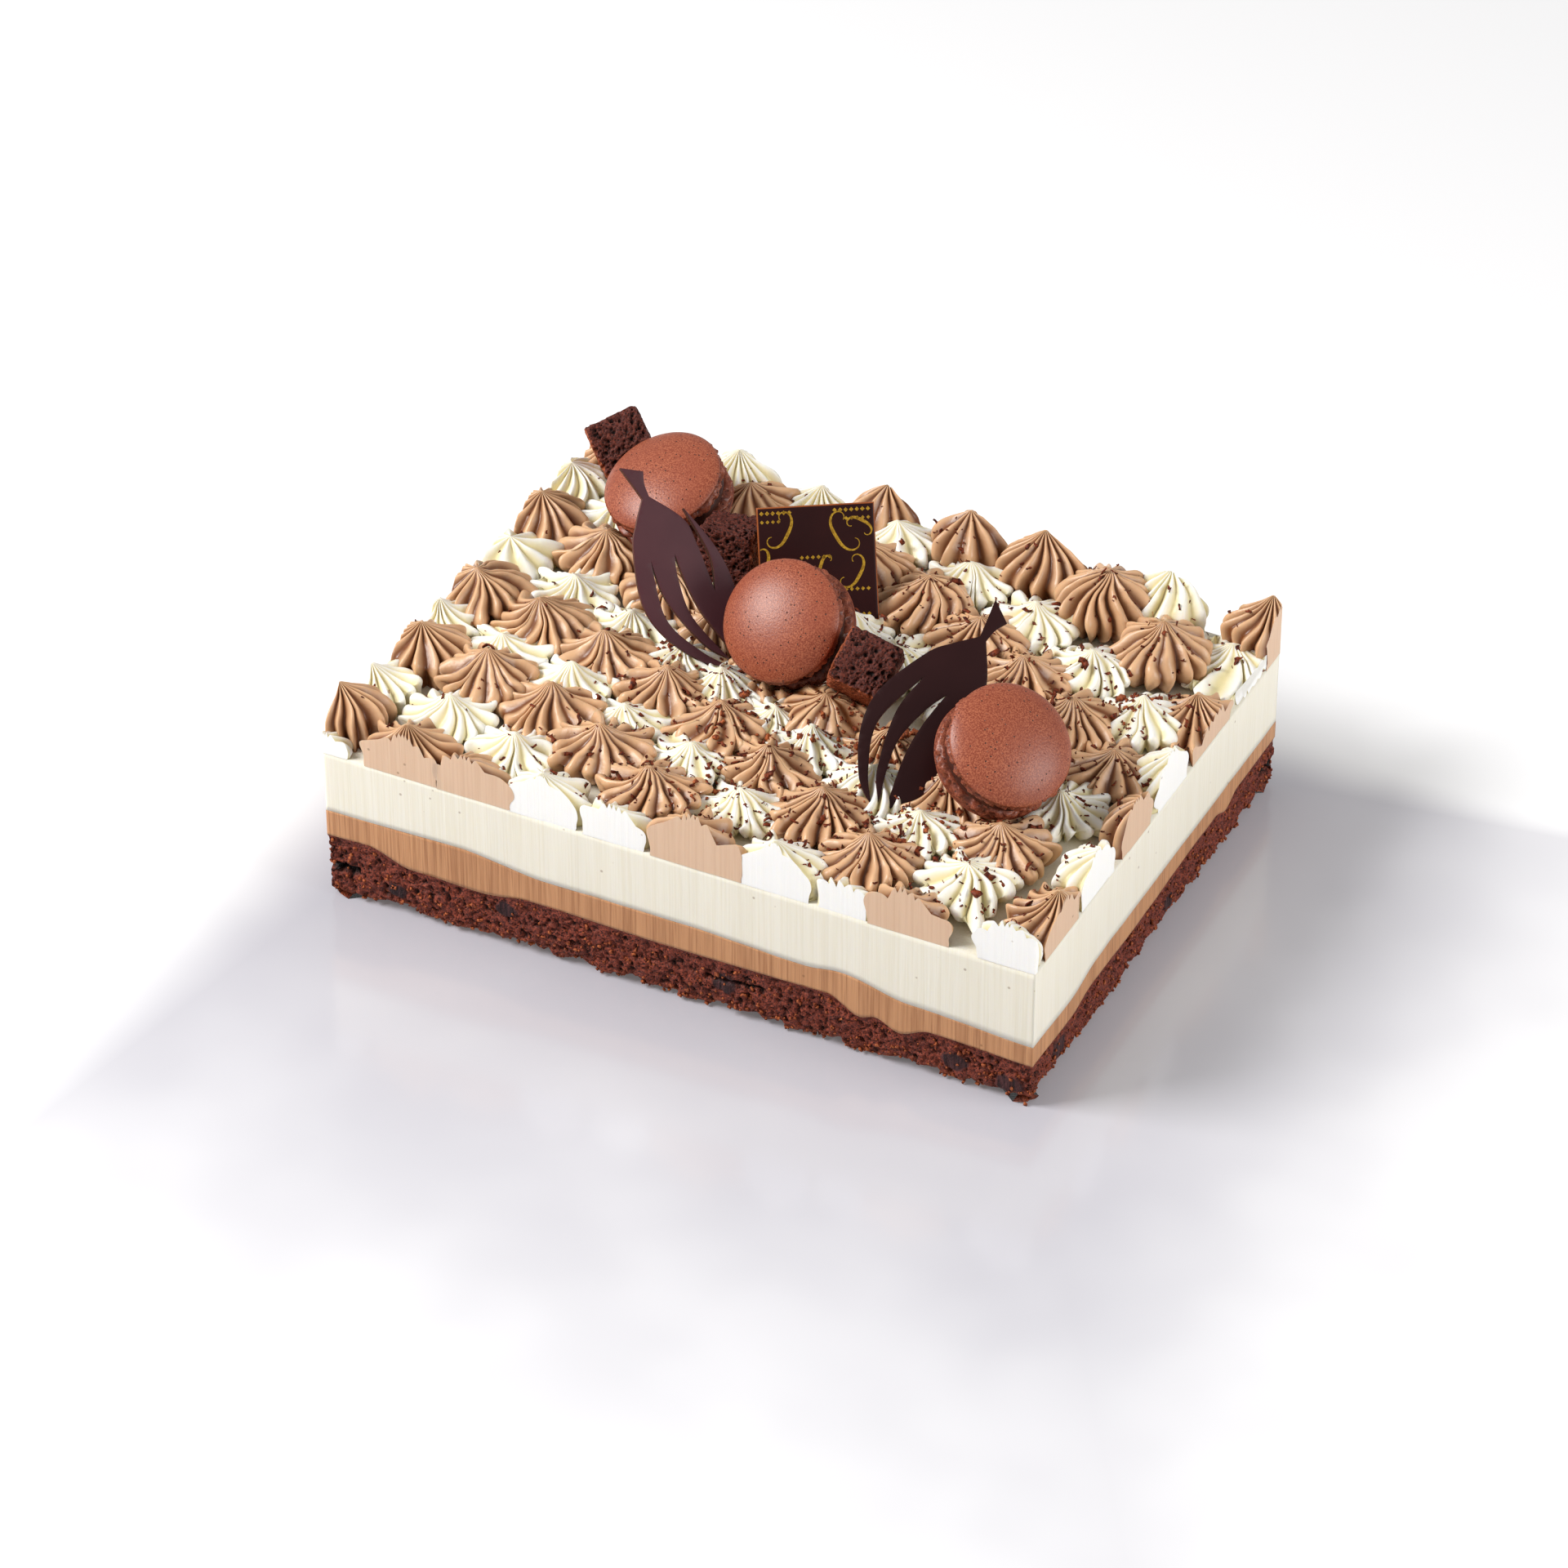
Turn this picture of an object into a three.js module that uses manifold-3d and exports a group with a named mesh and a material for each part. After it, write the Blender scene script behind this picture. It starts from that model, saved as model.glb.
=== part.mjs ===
import * as THREE from 'three';
import { mergeVertices } from 'three/addons/utils/BufferGeometryUtils.js';
import Module from 'manifold-3d';

// A rectangular chocolate entremet: brownie base, milk chocolate mousse, vanilla mousse,
// slanting rows of piped cream rosettes, and macarons, brownie cubes, two chocolate leaves
// and a chocolate plaque set along the diagonal. The four sides are clean knife cuts.
// Millimetres, +Z up. The origin is under the middle of the cake, +X runs along the long side.

// Cake
const CAKE_LENGTH = 240;
const CAKE_WIDTH = 185;
const TOP_MIDDLE = 52.4;
const TOP_SLOPE = -0.0175;
const LAYER_GAP = 0.1;
const LONG_SIDE_STEPS = 34;
const SHORT_SIDE_STEPS = 27;
const EDGE_STEPS = 2 * (LONG_SIDE_STEPS + SHORT_SIDE_STEPS);

// Brownie base
const CRAG_DEPTH = 1.3;
const FOOT_INSET = 3;
const FOOT_RISE = 1.6;

// Wavy borders between the layers, as height over x, and how they drift over y
const MILK_TOP_OVER_X = [[-120, 32.5], [-73, 33.2], [-43, 30], [0, 29.8], [45, 28], [56, 29.4],
  [80, 25], [120, 22.7]];
const MILK_TOP_OVER_Y = [[-92.5, 0], [-65, -1], [-46, 1.8], [92.5, 1.3]];
const BASE_TOP_OVER_X = [[-120, 23.2], [-106, 23.5], [-90, 19], [-66, 18.5], [-48, 20.8], [0, 19.8],
  [52, 20], [63, 14.8], [68, 16.4], [76, 13.2], [86, 16.8], [120, 15.5]];
const BASE_TOP_OVER_Y = [[-92.5, 0], [-65, -0.8], [-48, 1.5], [-15, 1], [30, 2.4], [45, 2],
  [53, -0.6], [62, 2.4], [92.5, 2.4]];

// Rosettes
const FLUTES = 8;
const FLUTE_DEPTH = 0.2;
const ROSETTE_RADIUS = 15;
const ROSETTE_TWIST = 0.2;
const ROW_OVERLAP = 1.4;
const ROW_GAP = 0.3;
const CREAM_LIFT = 0.1;
const TIP_LEAN = 1.2;
const SIZE_VARIATION = 0.05;
const SMALLEST_PIECE = 100;
const NEIGHBOUR_RANGE = 45;
const CREAMS = {
  milk: {
    height: 16,
    share: 0.56,
    colour: 0xc8a078,
    profile: [[0, 0], [0.9, 0], [1, 0.27], [0.6, 0.66], [0, 1]],
  },
  vanilla: {
    height: 13,
    share: 0.44,
    colour: 0xece6d2,
    profile: [[0, 0], [1, 0], [0.78, 0.5], [0, 1]],
  },
};

// Each run of piping is a bowed line of rosettes: its two ends, the point that its bow leans
// to, and how many rosettes it has. A rosette that was piped off the line, beside the knife's
// cut, has its own place and height.
const PIPED_RUNS = [
  { cream: 'vanilla', line: [[-119, -94], [-119, -94], [-119, -94]], count: 1, extra: -1 },
  {
    cream: 'milk', line: [[-119, -80], [-92, -88], [-69, -92]], count: 3, extra: 3,
    placed: { 1: [-91.5, -89.6, 18], 2: [-70, -96.5, 17] },
  },
  {
    cream: 'vanilla', line: [[-119, -60], [-61, -70], [-19, -95]], count: 5, extra: 1,
    placed: { 3: [-44, -91.5, 17], 4: [-19.5, -96, 16.5] },
  },
  {
    cream: 'milk', line: [[-115, -37], [-51, -46], [6, -87]], count: 6, extra: 0,
    placed: { 5: [7, -95.8, 22.5] },
  },
  {
    cream: 'vanilla', line: [[-119, -20], [-23, -36], [56, -94]], count: 8, extra: 0,
    placed: { 6: [34.5, -91.5, 19], 7: [56.5, -96.5, 16] },
  },
  {
    cream: 'milk', line: [[-113, -3], [-9, -21], [78, -89]], count: 9, extra: 0,
    placed: { 8: [77, -96, 20] },
  },
  { cream: 'vanilla', line: [[-116, 21], [-56, 3], [-22, -14]], count: 5, extra: 0 },
  { cream: 'vanilla', line: [[-2, -22], [-2, -22], [-2, -22]], count: 1, extra: -1 },
  {
    cream: 'vanilla', line: [[17, -29], [64, -45], [110, -86]], count: 5, extra: 1,
    placed: { 4: [111, -96, 17.5] },
  },
  { cream: 'milk', line: [[-116, 43], [-72, 31], [-36, 12]], count: 4, extra: 0 },
  { cream: 'milk', line: [[-12, 1], [-12, 1], [-12, 1]], count: 1, extra: -2 },
  {
    cream: 'milk', line: [[13, -13], [63, -27], [116, -68]], count: 5, extra: 0,
    placed: { 4: [117, -72, 16] },
  },
  { cream: 'vanilla', line: [[-118, 66], [-93, 56], [-68, 41]], count: 3, extra: 2 },
  { cream: 'vanilla', line: [[-45, 42], [-22, 39], [-1, 32]], count: 3, extra: -1 },
  {
    cream: 'vanilla', line: [[20, 25], [74, 9], [122, -46]], count: 5, extra: 0,
    placed: { 4: [122, -48, 18] },
  },
  {
    cream: 'milk', line: [[-112, 86], [22, 78], [122, -16]], count: 11, extra: 0,
    placed: { 10: [123, -20, 17.5] },
  },
  {
    cream: 'vanilla', line: [[-71, 95], [42, 85], [123, 11]], count: 8, extra: 1,
    placed: { 0: [-68, 89.5, 20], 7: [121.5, 6, 18.5] },
  },
  {
    cream: 'milk', line: [[-13, 97], [53, 104], [115, 44]], count: 6, extra: 2.5,
    placed: { 5: [116.5, 38.5, 18.5] },
  },
  {
    cream: 'vanilla', line: [[82, 93], [97, 87], [111, 78]], count: 2, extra: 3,
    placed: { 1: [111, 72, 16] },
  },
  { cream: 'milk', line: [[117, 92], [117, 92], [117, 92]], count: 1, extra: 3 },
];

// Chocolate shavings large enough to keep a shape of their own
const FLAKE_SIZE = [3.6, 1.5, 0.9];
const FLAKE_REACH = [0.3, 0.52];
const FLAKE_SHARE = 0.6;
const FLAKE_START_X = -70;

// Macarons: centre, compass heading and rise of the face, turn about it
const MACARON_RADIUS = 20.4;
const MACARON_SEGMENTS = 16;
const SHELL_PROFILE = [[0, 10.4], [0.5, 9.4], [0.84, 6.2], [0.975, 3.1], [1, 1.1], [0.95, 0], [0, 0]];
const FILLING_RADIUS = 18.6;
const FILLING_THICKNESS = 4;
const TURNED_GAP = 0.3;
const MACARONS = [
  { x: -76, y: 55, z: 75, heading: -25, rise: 65, spin: 0 },
  { x: -8.3, y: 4.5, z: 76, heading: -6, rise: 42, spin: 0 },
  { x: 80, y: -30, z: 78, heading: 58, rise: 50, spin: 0 },
];

// Brownie cubes
const CUBE_SIZE = 19;
const CUBE_STEPS = 3;
const CUBES = [
  { x: -104, y: 76, z: 74, heading: 26, rise: 34, spin: 25 },
  { x: -46, y: 39.4, z: 72, heading: 10, rise: 12, spin: 0 },
  { x: 22.3, y: -5, z: 75, heading: 26, rise: 46, spin: -27 },
];

// Chocolate leaves: flat blades cut apart by three slits, on a flared stalk
const LEAF_THICKNESS = 1.5;
const LEAF_CURL = 0.004;
const LEAVES = [
  { x: -62.3, y: 12.6, z: 102.1, heading: 56.6, rise: 41.7, spin: 10, size: 0.94 },
  { x: 58.6, y: 1.1, z: 92.9, heading: 34, rise: 46, spin: -36.5, size: 1 },
];

// Chocolate plaque
const PLAQUE_SIZE = 37;
const PLAQUE_THICKNESS = 2;
const PLAQUE = { x: -16, y: 40, z: 75, heading: 32, rise: 30, spin: 0 };

// Colours
const BROWNIE_COLOUR = 0x482322;
const MILK_MOUSSE_COLOUR = 0xb9875c;
const VANILLA_MOUSSE_COLOUR = 0xe8e2d0;
const SHELL_COLOUR = 0xb26950;
const FILLING_COLOUR = 0x5c2c20;
const LEAF_COLOURS = [0x52323a, 0x2d1414];
const PLAQUE_COLOUR = 0x3a1618;

const wasm = await Module();
wasm.setup();

let seed = 20611;

// Seeded random number from 0 to 1
function random() {
  seed = (seed + 0x6d2b79f5) | 0;
  let bits = Math.imul(seed ^ (seed >>> 15), 1 | seed);
  bits = (bits + Math.imul(bits ^ (bits >>> 7), 61 | bits)) ^ bits;
  return ((bits ^ (bits >>> 14)) >>> 0) / 4294967296;
}

// Seeded random number from -size to size
function spread(size) {
  return (2 * random() - 1) * size;
}

// Smooth line through [place, value] pairs
function along(pairs, place) {
  const next = pairs.findIndex(([start]) => start > place);
  if (next === 0) return pairs[0][1];
  if (next < 0) return pairs[pairs.length - 1][1];
  const [[start, low], [end, high]] = [pairs[next - 1], pairs[next]];
  return THREE.MathUtils.lerp(low, high, THREE.MathUtils.smoothstep(place, start, end));
}

function mousseTop(x) {
  return TOP_MIDDLE + TOP_SLOPE * x;
}

function milkTop(x, y) {
  return along(MILK_TOP_OVER_X, x) + along(MILK_TOP_OVER_Y, y);
}

function baseTop(x, y) {
  return along(BASE_TOP_OVER_X, x) + along(BASE_TOP_OVER_Y, y);
}

// Closed geometry with shared corners and no collapsed triangles
function closed(geometry) {
  geometry.deleteAttribute('normal');
  geometry.deleteAttribute('uv');
  const merged = mergeVertices(geometry, 1e-4);
  const kept = [];
  for (let i = 0; i < merged.index.count; i += 3) {
    const corners = [0, 1, 2].map((k) => merged.index.getX(i + k));
    if (new Set(corners).size === 3) kept.push(...corners);
  }
  merged.setIndex(kept);
  return merged;
}

function toSolid(geometry) {
  const merged = closed(geometry);
  return new wasm.Manifold(new wasm.Mesh({
    numProp: 3,
    vertProperties: new Float32Array(merged.attributes.position.array),
    triVerts: new Uint32Array(merged.index.array),
  }));
}

function toGeometry(solid) {
  const mesh = solid.getMesh();
  const geometry = new THREE.BufferGeometry();
  geometry.setAttribute('position', new THREE.BufferAttribute(mesh.vertProperties, 3));
  geometry.setIndex(new THREE.BufferAttribute(mesh.triVerts, 1));
  return geometry;
}

function movePoints(geometry, place) {
  const { position } = geometry.attributes;
  for (let i = 0; i < position.count; i += 1) {
    const [x, y, z] = place(position.getX(i), position.getY(i), position.getZ(i));
    position.setXYZ(i, x, y, z);
  }
  return geometry;
}

function named(name, geometry, colour, roughness) {
  const material = new THREE.MeshStandardMaterial({ color: colour, roughness, metalness: 0 });
  const mesh = new THREE.Mesh(geometry, material);
  mesh.name = name;
  return mesh;
}

// Point number i around the cake's outline, counter-clockwise from the back right corner
function edgePoint(i) {
  const halfLength = CAKE_LENGTH / 2;
  const halfWidth = CAKE_WIDTH / 2;
  const half = LONG_SIDE_STEPS + SHORT_SIDE_STEPS;
  const side = i < half ? 1 : -1;
  const step = i % half;
  if (step <= LONG_SIDE_STEPS) {
    return [side * (halfLength - (CAKE_LENGTH * step) / LONG_SIDE_STEPS), side * halfWidth];
  }
  const down = (step - LONG_SIDE_STEPS) / SHORT_SIDE_STEPS;
  return [-side * halfLength, side * (halfWidth - CAKE_WIDTH * down)];
}

function inward([x, y], depth) {
  const halfLength = CAKE_LENGTH / 2;
  const halfWidth = CAKE_WIDTH / 2;
  return [
    THREE.MathUtils.clamp(x, depth - halfLength, halfLength - depth),
    THREE.MathUtils.clamp(y, depth - halfWidth, halfWidth - depth),
  ];
}

// A slab over the whole outline. place(i, band) gives the point i of ring number band,
// counted upwards, and centre(top) the middle of its lower or upper face.
function slab(bands, place, centre) {
  const blank = closed(new THREE.CylinderGeometry(1, 1, 1, EDGE_STEPS, bands));
  blank.rotateX(Math.PI / 2);
  return movePoints(blank, (x, y, z) => {
    if (Math.hypot(x, y) < 0.5) return centre(z > 0);
    const turn = Math.atan2(y, x) / (2 * Math.PI);
    const i = (Math.round(turn * EDGE_STEPS) + EDGE_STEPS) % EDGE_STEPS;
    return place(i, Math.round((z + 0.5) * bands));
  });
}

// Brownie base: flat underneath, ragged at the foot and craggy on its cut sides
function browniesBase() {
  const bands = 2;
  const crags = Array.from({ length: EDGE_STEPS }, () => Array.from({ length: bands }, random));
  return slab(bands, (i, band) => {
    const edge = edgePoint(i);
    const crag = crags[i][band % bands];
    if (band === 0) return [...inward(edge, FOOT_INSET + crag), 0];
    if (band === bands) return [...edge, baseTop(...edge) - LAYER_GAP / 2];
    const [x, y] = inward(edge, CRAG_DEPTH * crag);
    const foot = FOOT_RISE * crags[i][0];
    const share = (band - 1) / (bands - 1);
    return [x, y, THREE.MathUtils.lerp(foot, baseTop(x, y), share)];
  }, (top) => [0, 0, top ? baseTop(0, 0) - LAYER_GAP / 2 : 0]);
}

// Mousse between two height functions of x and y
function mousse(lower, upper) {
  return slab(1, (i, band) => {
    const edge = edgePoint(i);
    return [...edge, band === 0 ? lower(...edge) + LAYER_GAP / 2 : upper(...edge) - LAYER_GAP / 2];
  }, (top) => [0, 0, top ? upper(0, 0) - LAYER_GAP / 2 : lower(0, 0) + LAYER_GAP / 2]);
}

// Centres of the rosettes of every run, with their size
function rosetteSites() {
  const sites = [];
  PIPED_RUNS.forEach((run, row) => {
    const curve = new THREE.QuadraticBezierCurve(...run.line.map(([x, y]) => new THREE.Vector2(x, y)));
    for (let k = 0; k < run.count; k += 1) {
      const point = curve.getPoint(run.count > 1 ? k / (run.count - 1) : 0);
      const usual = [point.x, point.y, CREAMS[run.cream].height + run.extra];
      const [x, y, height] = run.placed?.[k] ?? usual;
      sites.push({
        row,
        order: k,
        cream: CREAMS[run.cream],
        x,
        y,
        height: height * (1 + spread(SIZE_VARIATION)),
        phase: curve.getTangent(run.count > 1 ? k / (run.count - 1) : 0).angle(),
        lean: [spread(TIP_LEAN), spread(TIP_LEAN)],
      });
    }
  });
  return sites;
}

// Reach of a rosette's belly in a direction. It meets the next rosette of its own run, and
// stops short of those of other runs; in between the flutes rise and fall.
function reach(site, sites, angle, ridge) {
  const step = Math.PI / FLUTES;
  const [own, others] = [[], []];
  sites.forEach((other) => {
    const distance = Math.hypot(other.x - site.x, other.y - site.y);
    if (other === site || distance > NEIGHBOUR_RANGE) return;
    const direction = Math.atan2(other.y - site.y, other.x - site.x);
    const turn = Math.cos(angle - direction);
    const share = site.cream.share / (site.cream.share + other.cream.share);
    if (other.row !== site.row) others.push({ distance, turn, share });
    else if (Math.abs(other.order - site.order) === 1) own.push({ distance, turn });
  });
  let radius = ROSETTE_RADIUS * (ridge ? 1 : 1 - FLUTE_DEPTH);
  own.forEach(({ distance, turn }) => {
    if (turn > Math.cos(step / 2)) radius = Math.max(radius, distance / 2 + ROW_OVERLAP);
  });
  others.forEach(({ distance, turn, share }) => {
    if (turn > 0.05) radius = Math.min(radius, (distance * share - ROW_GAP / 2) / turn);
  });
  return radius;
}

// One rosette: rings of ridges and grooves drawn together, with a slight twist, at a leaning tip
function rosette(site, sites) {
  const profile = site.cream.profile.map(([radius, height]) => new THREE.Vector2(radius, height));
  const blank = closed(new THREE.LatheGeometry(profile, 2 * FLUTES));
  blank.rotateX(Math.PI / 2);
  const floor = mousseTop(site.x);
  return movePoints(blank, (x, y, z) => {
    const radius = Math.hypot(x, y);
    const lean = z * z;
    const step = Math.round((Math.atan2(y, x) / Math.PI) * FLUTES);
    const angle = site.phase + (step * Math.PI) / FLUTES;
    const reached = radius > 0 ? radius * reach(site, sites, angle, step % 2 === 0) : 0;
    const twisted = angle + (z > 0.5 ? ROSETTE_TWIST : 0);
    const px = site.x + reached * Math.cos(twisted) + site.lean[0] * lean;
    const py = site.y + reached * Math.sin(twisted) + site.lean[1] * lean;
    return [px, py, z < 0.01 ? mousseTop(px) + CREAM_LIFT : floor + z * site.height];
  });
}

// A shaving lying on a rosette's slope
function flake(site, sites) {
  const angle = random() * 2 * Math.PI;
  const share = THREE.MathUtils.lerp(...FLAKE_REACH, random());
  const radius = share * reach(site, sites, angle, true);
  const shoulder = site.cream.profile.at(-2);
  const rise = THREE.MathUtils.mapLinear(share, 0, shoulder[0], 1, shoulder[1]);
  const chip = new THREE.BoxGeometry(...FLAKE_SIZE);
  chip.rotateX(spread(0.5));
  chip.rotateY(0.5 + spread(0.4));
  chip.rotateZ(spread(0.9));
  chip.rotateZ(angle);
  const twisted = angle + ROSETTE_TWIST * share;
  chip.translate(
    site.x + radius * Math.cos(twisted),
    site.y + radius * Math.sin(twisted),
    mousseTop(site.x) + rise * site.height,
  );
  return toSolid(chip);
}

// Turns a group so that its local +Z faces a compass heading (from the front, towards +X)
// and rises above the horizon, after a turn about that axis
function facing({ x, y, z, heading, rise, spin }) {
  const { degToRad } = THREE.MathUtils;
  const group = new THREE.Group();
  group.position.set(x, y, z);
  group.quaternion
    .setFromAxisAngle(new THREE.Vector3(0, 0, 1), degToRad(heading))
    .multiply(new THREE.Quaternion().setFromAxisAngle(new THREE.Vector3(1, 0, 0), degToRad(90 - rise)))
    .multiply(new THREE.Quaternion().setFromAxisAngle(new THREE.Vector3(0, 0, 1), degToRad(spin)));
  group.updateMatrixWorld();
  return group;
}

// Macaron shell, flat side down at z = 0, domed side up, its foot slightly ruffled
function shellGeometry() {
  const profile = SHELL_PROFILE.map(([share, height]) => new THREE.Vector2(share * MACARON_RADIUS, height));
  const blank = closed(new THREE.LatheGeometry(profile.reverse(), MACARON_SEGMENTS));
  blank.rotateX(Math.PI / 2);
  return movePoints(blank, (x, y, z) => {
    const ruffle = z > 0.5 && z < 2 ? 1 - 0.03 * random() : 1;
    return [x * ruffle, y * ruffle, z];
  });
}

function macaron(spot, number) {
  const group = facing(spot);
  const half = FILLING_THICKNESS / 2 + TURNED_GAP;
  const upper = named(`macaron_${number}_shell_upper`, shellGeometry(), SHELL_COLOUR, 0.75);
  upper.position.z = half;
  const lower = named(`macaron_${number}_shell_lower`, shellGeometry(), SHELL_COLOUR, 0.75);
  lower.position.z = -half;
  lower.rotation.x = Math.PI;
  const disc = new THREE.CylinderGeometry(
    FILLING_RADIUS,
    FILLING_RADIUS,
    FILLING_THICKNESS,
    MACARON_SEGMENTS,
  );
  disc.rotateX(Math.PI / 2);
  group.add(upper, lower, named(`macaron_${number}_filling`, closed(disc), FILLING_COLOUR, 0.6));
  return group;
}

// Brownie cube with crumbled faces that stay inside its nominal size
function cubeGeometry() {
  const blank = closed(new THREE.BoxGeometry(1, 1, 1, CUBE_STEPS, CUBE_STEPS, CUBE_STEPS));
  return movePoints(blank, (...corner) => corner.map((place) => {
    const crumbled = Math.abs(place) > 0.49 ? place * (1 - 0.07 * random()) : place + spread(0.03);
    return crumbled * CUBE_SIZE;
  }));
}

// Leaf outline, stalk up, neck at the origin: outer edge, three slits, and the blades' points
function leafShape() {
  const shape = new THREE.Shape();
  const curve = (...points) => shape.splineThru(points.map(([x, y]) => new THREE.Vector2(x, y)));
  shape.moveTo(-1.2, 0.3);
  curve([-7.3, -5.9], [-12.5, -12.6], [-18.9, -29.8], [-17.5, -43.4], [-10.2, -56.4], [-2.6, -62]);
  curve([-9.1, -52.8], [-14.3, -38], [-9.2, -18.6]);
  curve([-11.1, -33], [-6.9, -51.3], [-1.4, -59.8]);
  curve([-5.9, -42], [-3.9, -28.7], [-0.6, -20.5]);
  curve([-2.1, -31.7], [-1.9, -43.7], [1.6, -60.6]);
  curve([9, -52], [13.6, -37], [13.8, -24], [10.4, -8.8]);
  curve([10.6, -27], [5.8, -38]);
  curve([8.2, -22], [8.4, -12], [1.2, 0]);
  curve([1.9, 4.5], [3.8, 8.2]);
  shape.lineTo(-3, 12.8);
  curve([-1.8, 5], [-1.2, 0.3]);
  return shape;
}

function leafGeometry(size) {
  const blank = new THREE.ExtrudeGeometry(leafShape(), {
    depth: LEAF_THICKNESS, bevelEnabled: false, curveSegments: 2,
  });
  blank.scale(size, size, 1);
  return movePoints(closed(blank), (x, y, z) => [x, y, z - LEAF_THICKNESS / 2 - LEAF_CURL * x * x]);
}

// Room that a leaf takes: an almond and a stalk with a little clearance
function leafRoom(size) {
  const room = new THREE.Shape();
  room.moveTo(-3.5, 14);
  room.quadraticCurveTo(-2, 4, -8, -4);
  room.quadraticCurveTo(-37, -37, -3, -64);
  room.lineTo(2, -64);
  room.quadraticCurveTo(27, -36, 8, -4);
  room.quadraticCurveTo(2, 3, 5, 9);
  const depth = LEAF_THICKNESS + 2.6;
  const blank = new THREE.ExtrudeGeometry(room, { depth, bevelEnabled: false, curveSegments: 6 });
  blank.scale(size, size, 1);
  blank.translate(0, 0, -depth / 2 - 0.4);
  return blank;
}

function macaronRoom() {
  const grow = 1.035;
  const half = FILLING_THICKNESS / 2 + TURNED_GAP;
  const dome = SHELL_PROFILE.slice(0, 5).map(([share, height]) => [share * MACARON_RADIUS, height + half]);
  const profile = dome.map(([radius, height]) => new THREE.Vector2(radius, height));
  profile.push(...dome.map(([radius, height]) => new THREE.Vector2(radius, -height)).reverse());
  const blank = new THREE.LatheGeometry(profile.reverse(), MACARON_SEGMENTS);
  blank.rotateX(Math.PI / 2);
  blank.scale(grow, grow, grow);
  return blank;
}

function boxRoom(...size) {
  return new THREE.BoxGeometry(...size.map((length) => length + 2 * TURNED_GAP));
}

// Everything that sits in the cream, as one solid with clearance, to press into the rosettes
function pressedRoom() {
  const rooms = [
    ...MACARONS.map((spot) => [macaronRoom(), spot]),
    ...CUBES.map((spot) => [boxRoom(CUBE_SIZE, CUBE_SIZE, CUBE_SIZE), spot]),
    ...LEAVES.map((spot) => [leafRoom(spot.size), spot]),
    [boxRoom(PLAQUE_SIZE, PLAQUE_SIZE, PLAQUE_THICKNESS), PLAQUE],
  ];
  return rooms
    .map(([geometry, spot]) => toSolid(geometry.applyMatrix4(facing(spot).matrixWorld)))
    .reduce((whole, room) => whole.add(room));
}

function pipedCream() {
  const sites = rosetteSites();
  const pressed = pressedRoom();
  const block = new THREE.BoxGeometry(CAKE_LENGTH, CAKE_WIDTH, 200);
  const cutSides = toSolid(block);
  const counts = {};
  return PIPED_RUNS.flatMap((run, row) => {
    const own = sites.filter((site) => site.row === row);
    let piped = own.map((site) => toSolid(rosette(site, sites))).reduce((whole, next) => whole.add(next));
    own.forEach((site) => {
      const chance = random();
      const wanted = site.x > FLAKE_START_X && chance < FLAKE_SHARE;
      const shaving = flake(site, sites);
      if (wanted) piped = piped.add(shaving);
    });
    piped = piped.intersect(cutSides).subtract(pressed);
    const pieces = piped.decompose().filter((piece) => piece.volume() > SMALLEST_PIECE);
    counts[run.cream] = (counts[run.cream] ?? 0) + 1;
    const name = `${run.cream}_rosettes_${counts[run.cream]}`;
    return pieces.sort((a, b) => b.volume() - a.volume()).map((piece, i) => {
      const ownName = i ? `${name}_${i + 1}` : name;
      return named(ownName, toGeometry(piece), CREAMS[run.cream].colour, 0.55);
    });
  });
}

const group = new THREE.Group();
group.add(
  named('brownie_base', browniesBase(), BROWNIE_COLOUR, 0.9),
  named('milk_mousse', mousse(baseTop, milkTop), MILK_MOUSSE_COLOUR, 0.6),
  named('vanilla_mousse', mousse(milkTop, mousseTop), VANILLA_MOUSSE_COLOUR, 0.55),
  ...pipedCream(),
  ...MACARONS.map((spot, i) => macaron(spot, i + 1)),
);
CUBES.forEach((spot, i) => {
  const holder = facing(spot);
  holder.add(named(`brownie_cube_${i + 1}`, cubeGeometry(), BROWNIE_COLOUR, 0.9));
  group.add(holder);
});
LEAVES.forEach((spot, i) => {
  const holder = facing(spot);
  holder.add(named(`chocolate_leaf_${i + 1}`, leafGeometry(spot.size), LEAF_COLOURS[i], 0.35));
  group.add(holder);
});
const plaqueHolder = facing(PLAQUE);
const plate = closed(new THREE.BoxGeometry(PLAQUE_SIZE, PLAQUE_SIZE, PLAQUE_THICKNESS));
plaqueHolder.add(named('chocolate_plaque', plate, PLAQUE_COLOUR, 0.35));
group.add(plaqueHolder);

export default group;
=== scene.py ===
import math
from itertools import product

import bmesh
import bpy
import numpy as np
from mathutils import Matrix, Vector
from mathutils.bvhtree import BVHTree


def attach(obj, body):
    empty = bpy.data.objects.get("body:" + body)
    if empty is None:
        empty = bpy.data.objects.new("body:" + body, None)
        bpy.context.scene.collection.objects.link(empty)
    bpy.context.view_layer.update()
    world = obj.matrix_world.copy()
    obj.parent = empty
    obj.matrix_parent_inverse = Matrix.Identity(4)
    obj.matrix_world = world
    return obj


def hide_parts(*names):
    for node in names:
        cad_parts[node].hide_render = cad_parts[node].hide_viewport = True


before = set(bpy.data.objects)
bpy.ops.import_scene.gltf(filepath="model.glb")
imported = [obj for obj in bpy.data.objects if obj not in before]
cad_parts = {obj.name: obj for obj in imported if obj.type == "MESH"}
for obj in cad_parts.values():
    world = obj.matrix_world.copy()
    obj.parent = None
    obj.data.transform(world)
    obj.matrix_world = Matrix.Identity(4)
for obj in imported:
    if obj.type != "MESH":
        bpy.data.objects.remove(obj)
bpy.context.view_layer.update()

# The looks of a rectangular chocolate entremet. All shapes are worked out in millimetres in the
# frame of the solids: the origin is under the middle of the cake, +X runs along its long side
# and +Z is up.

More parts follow.
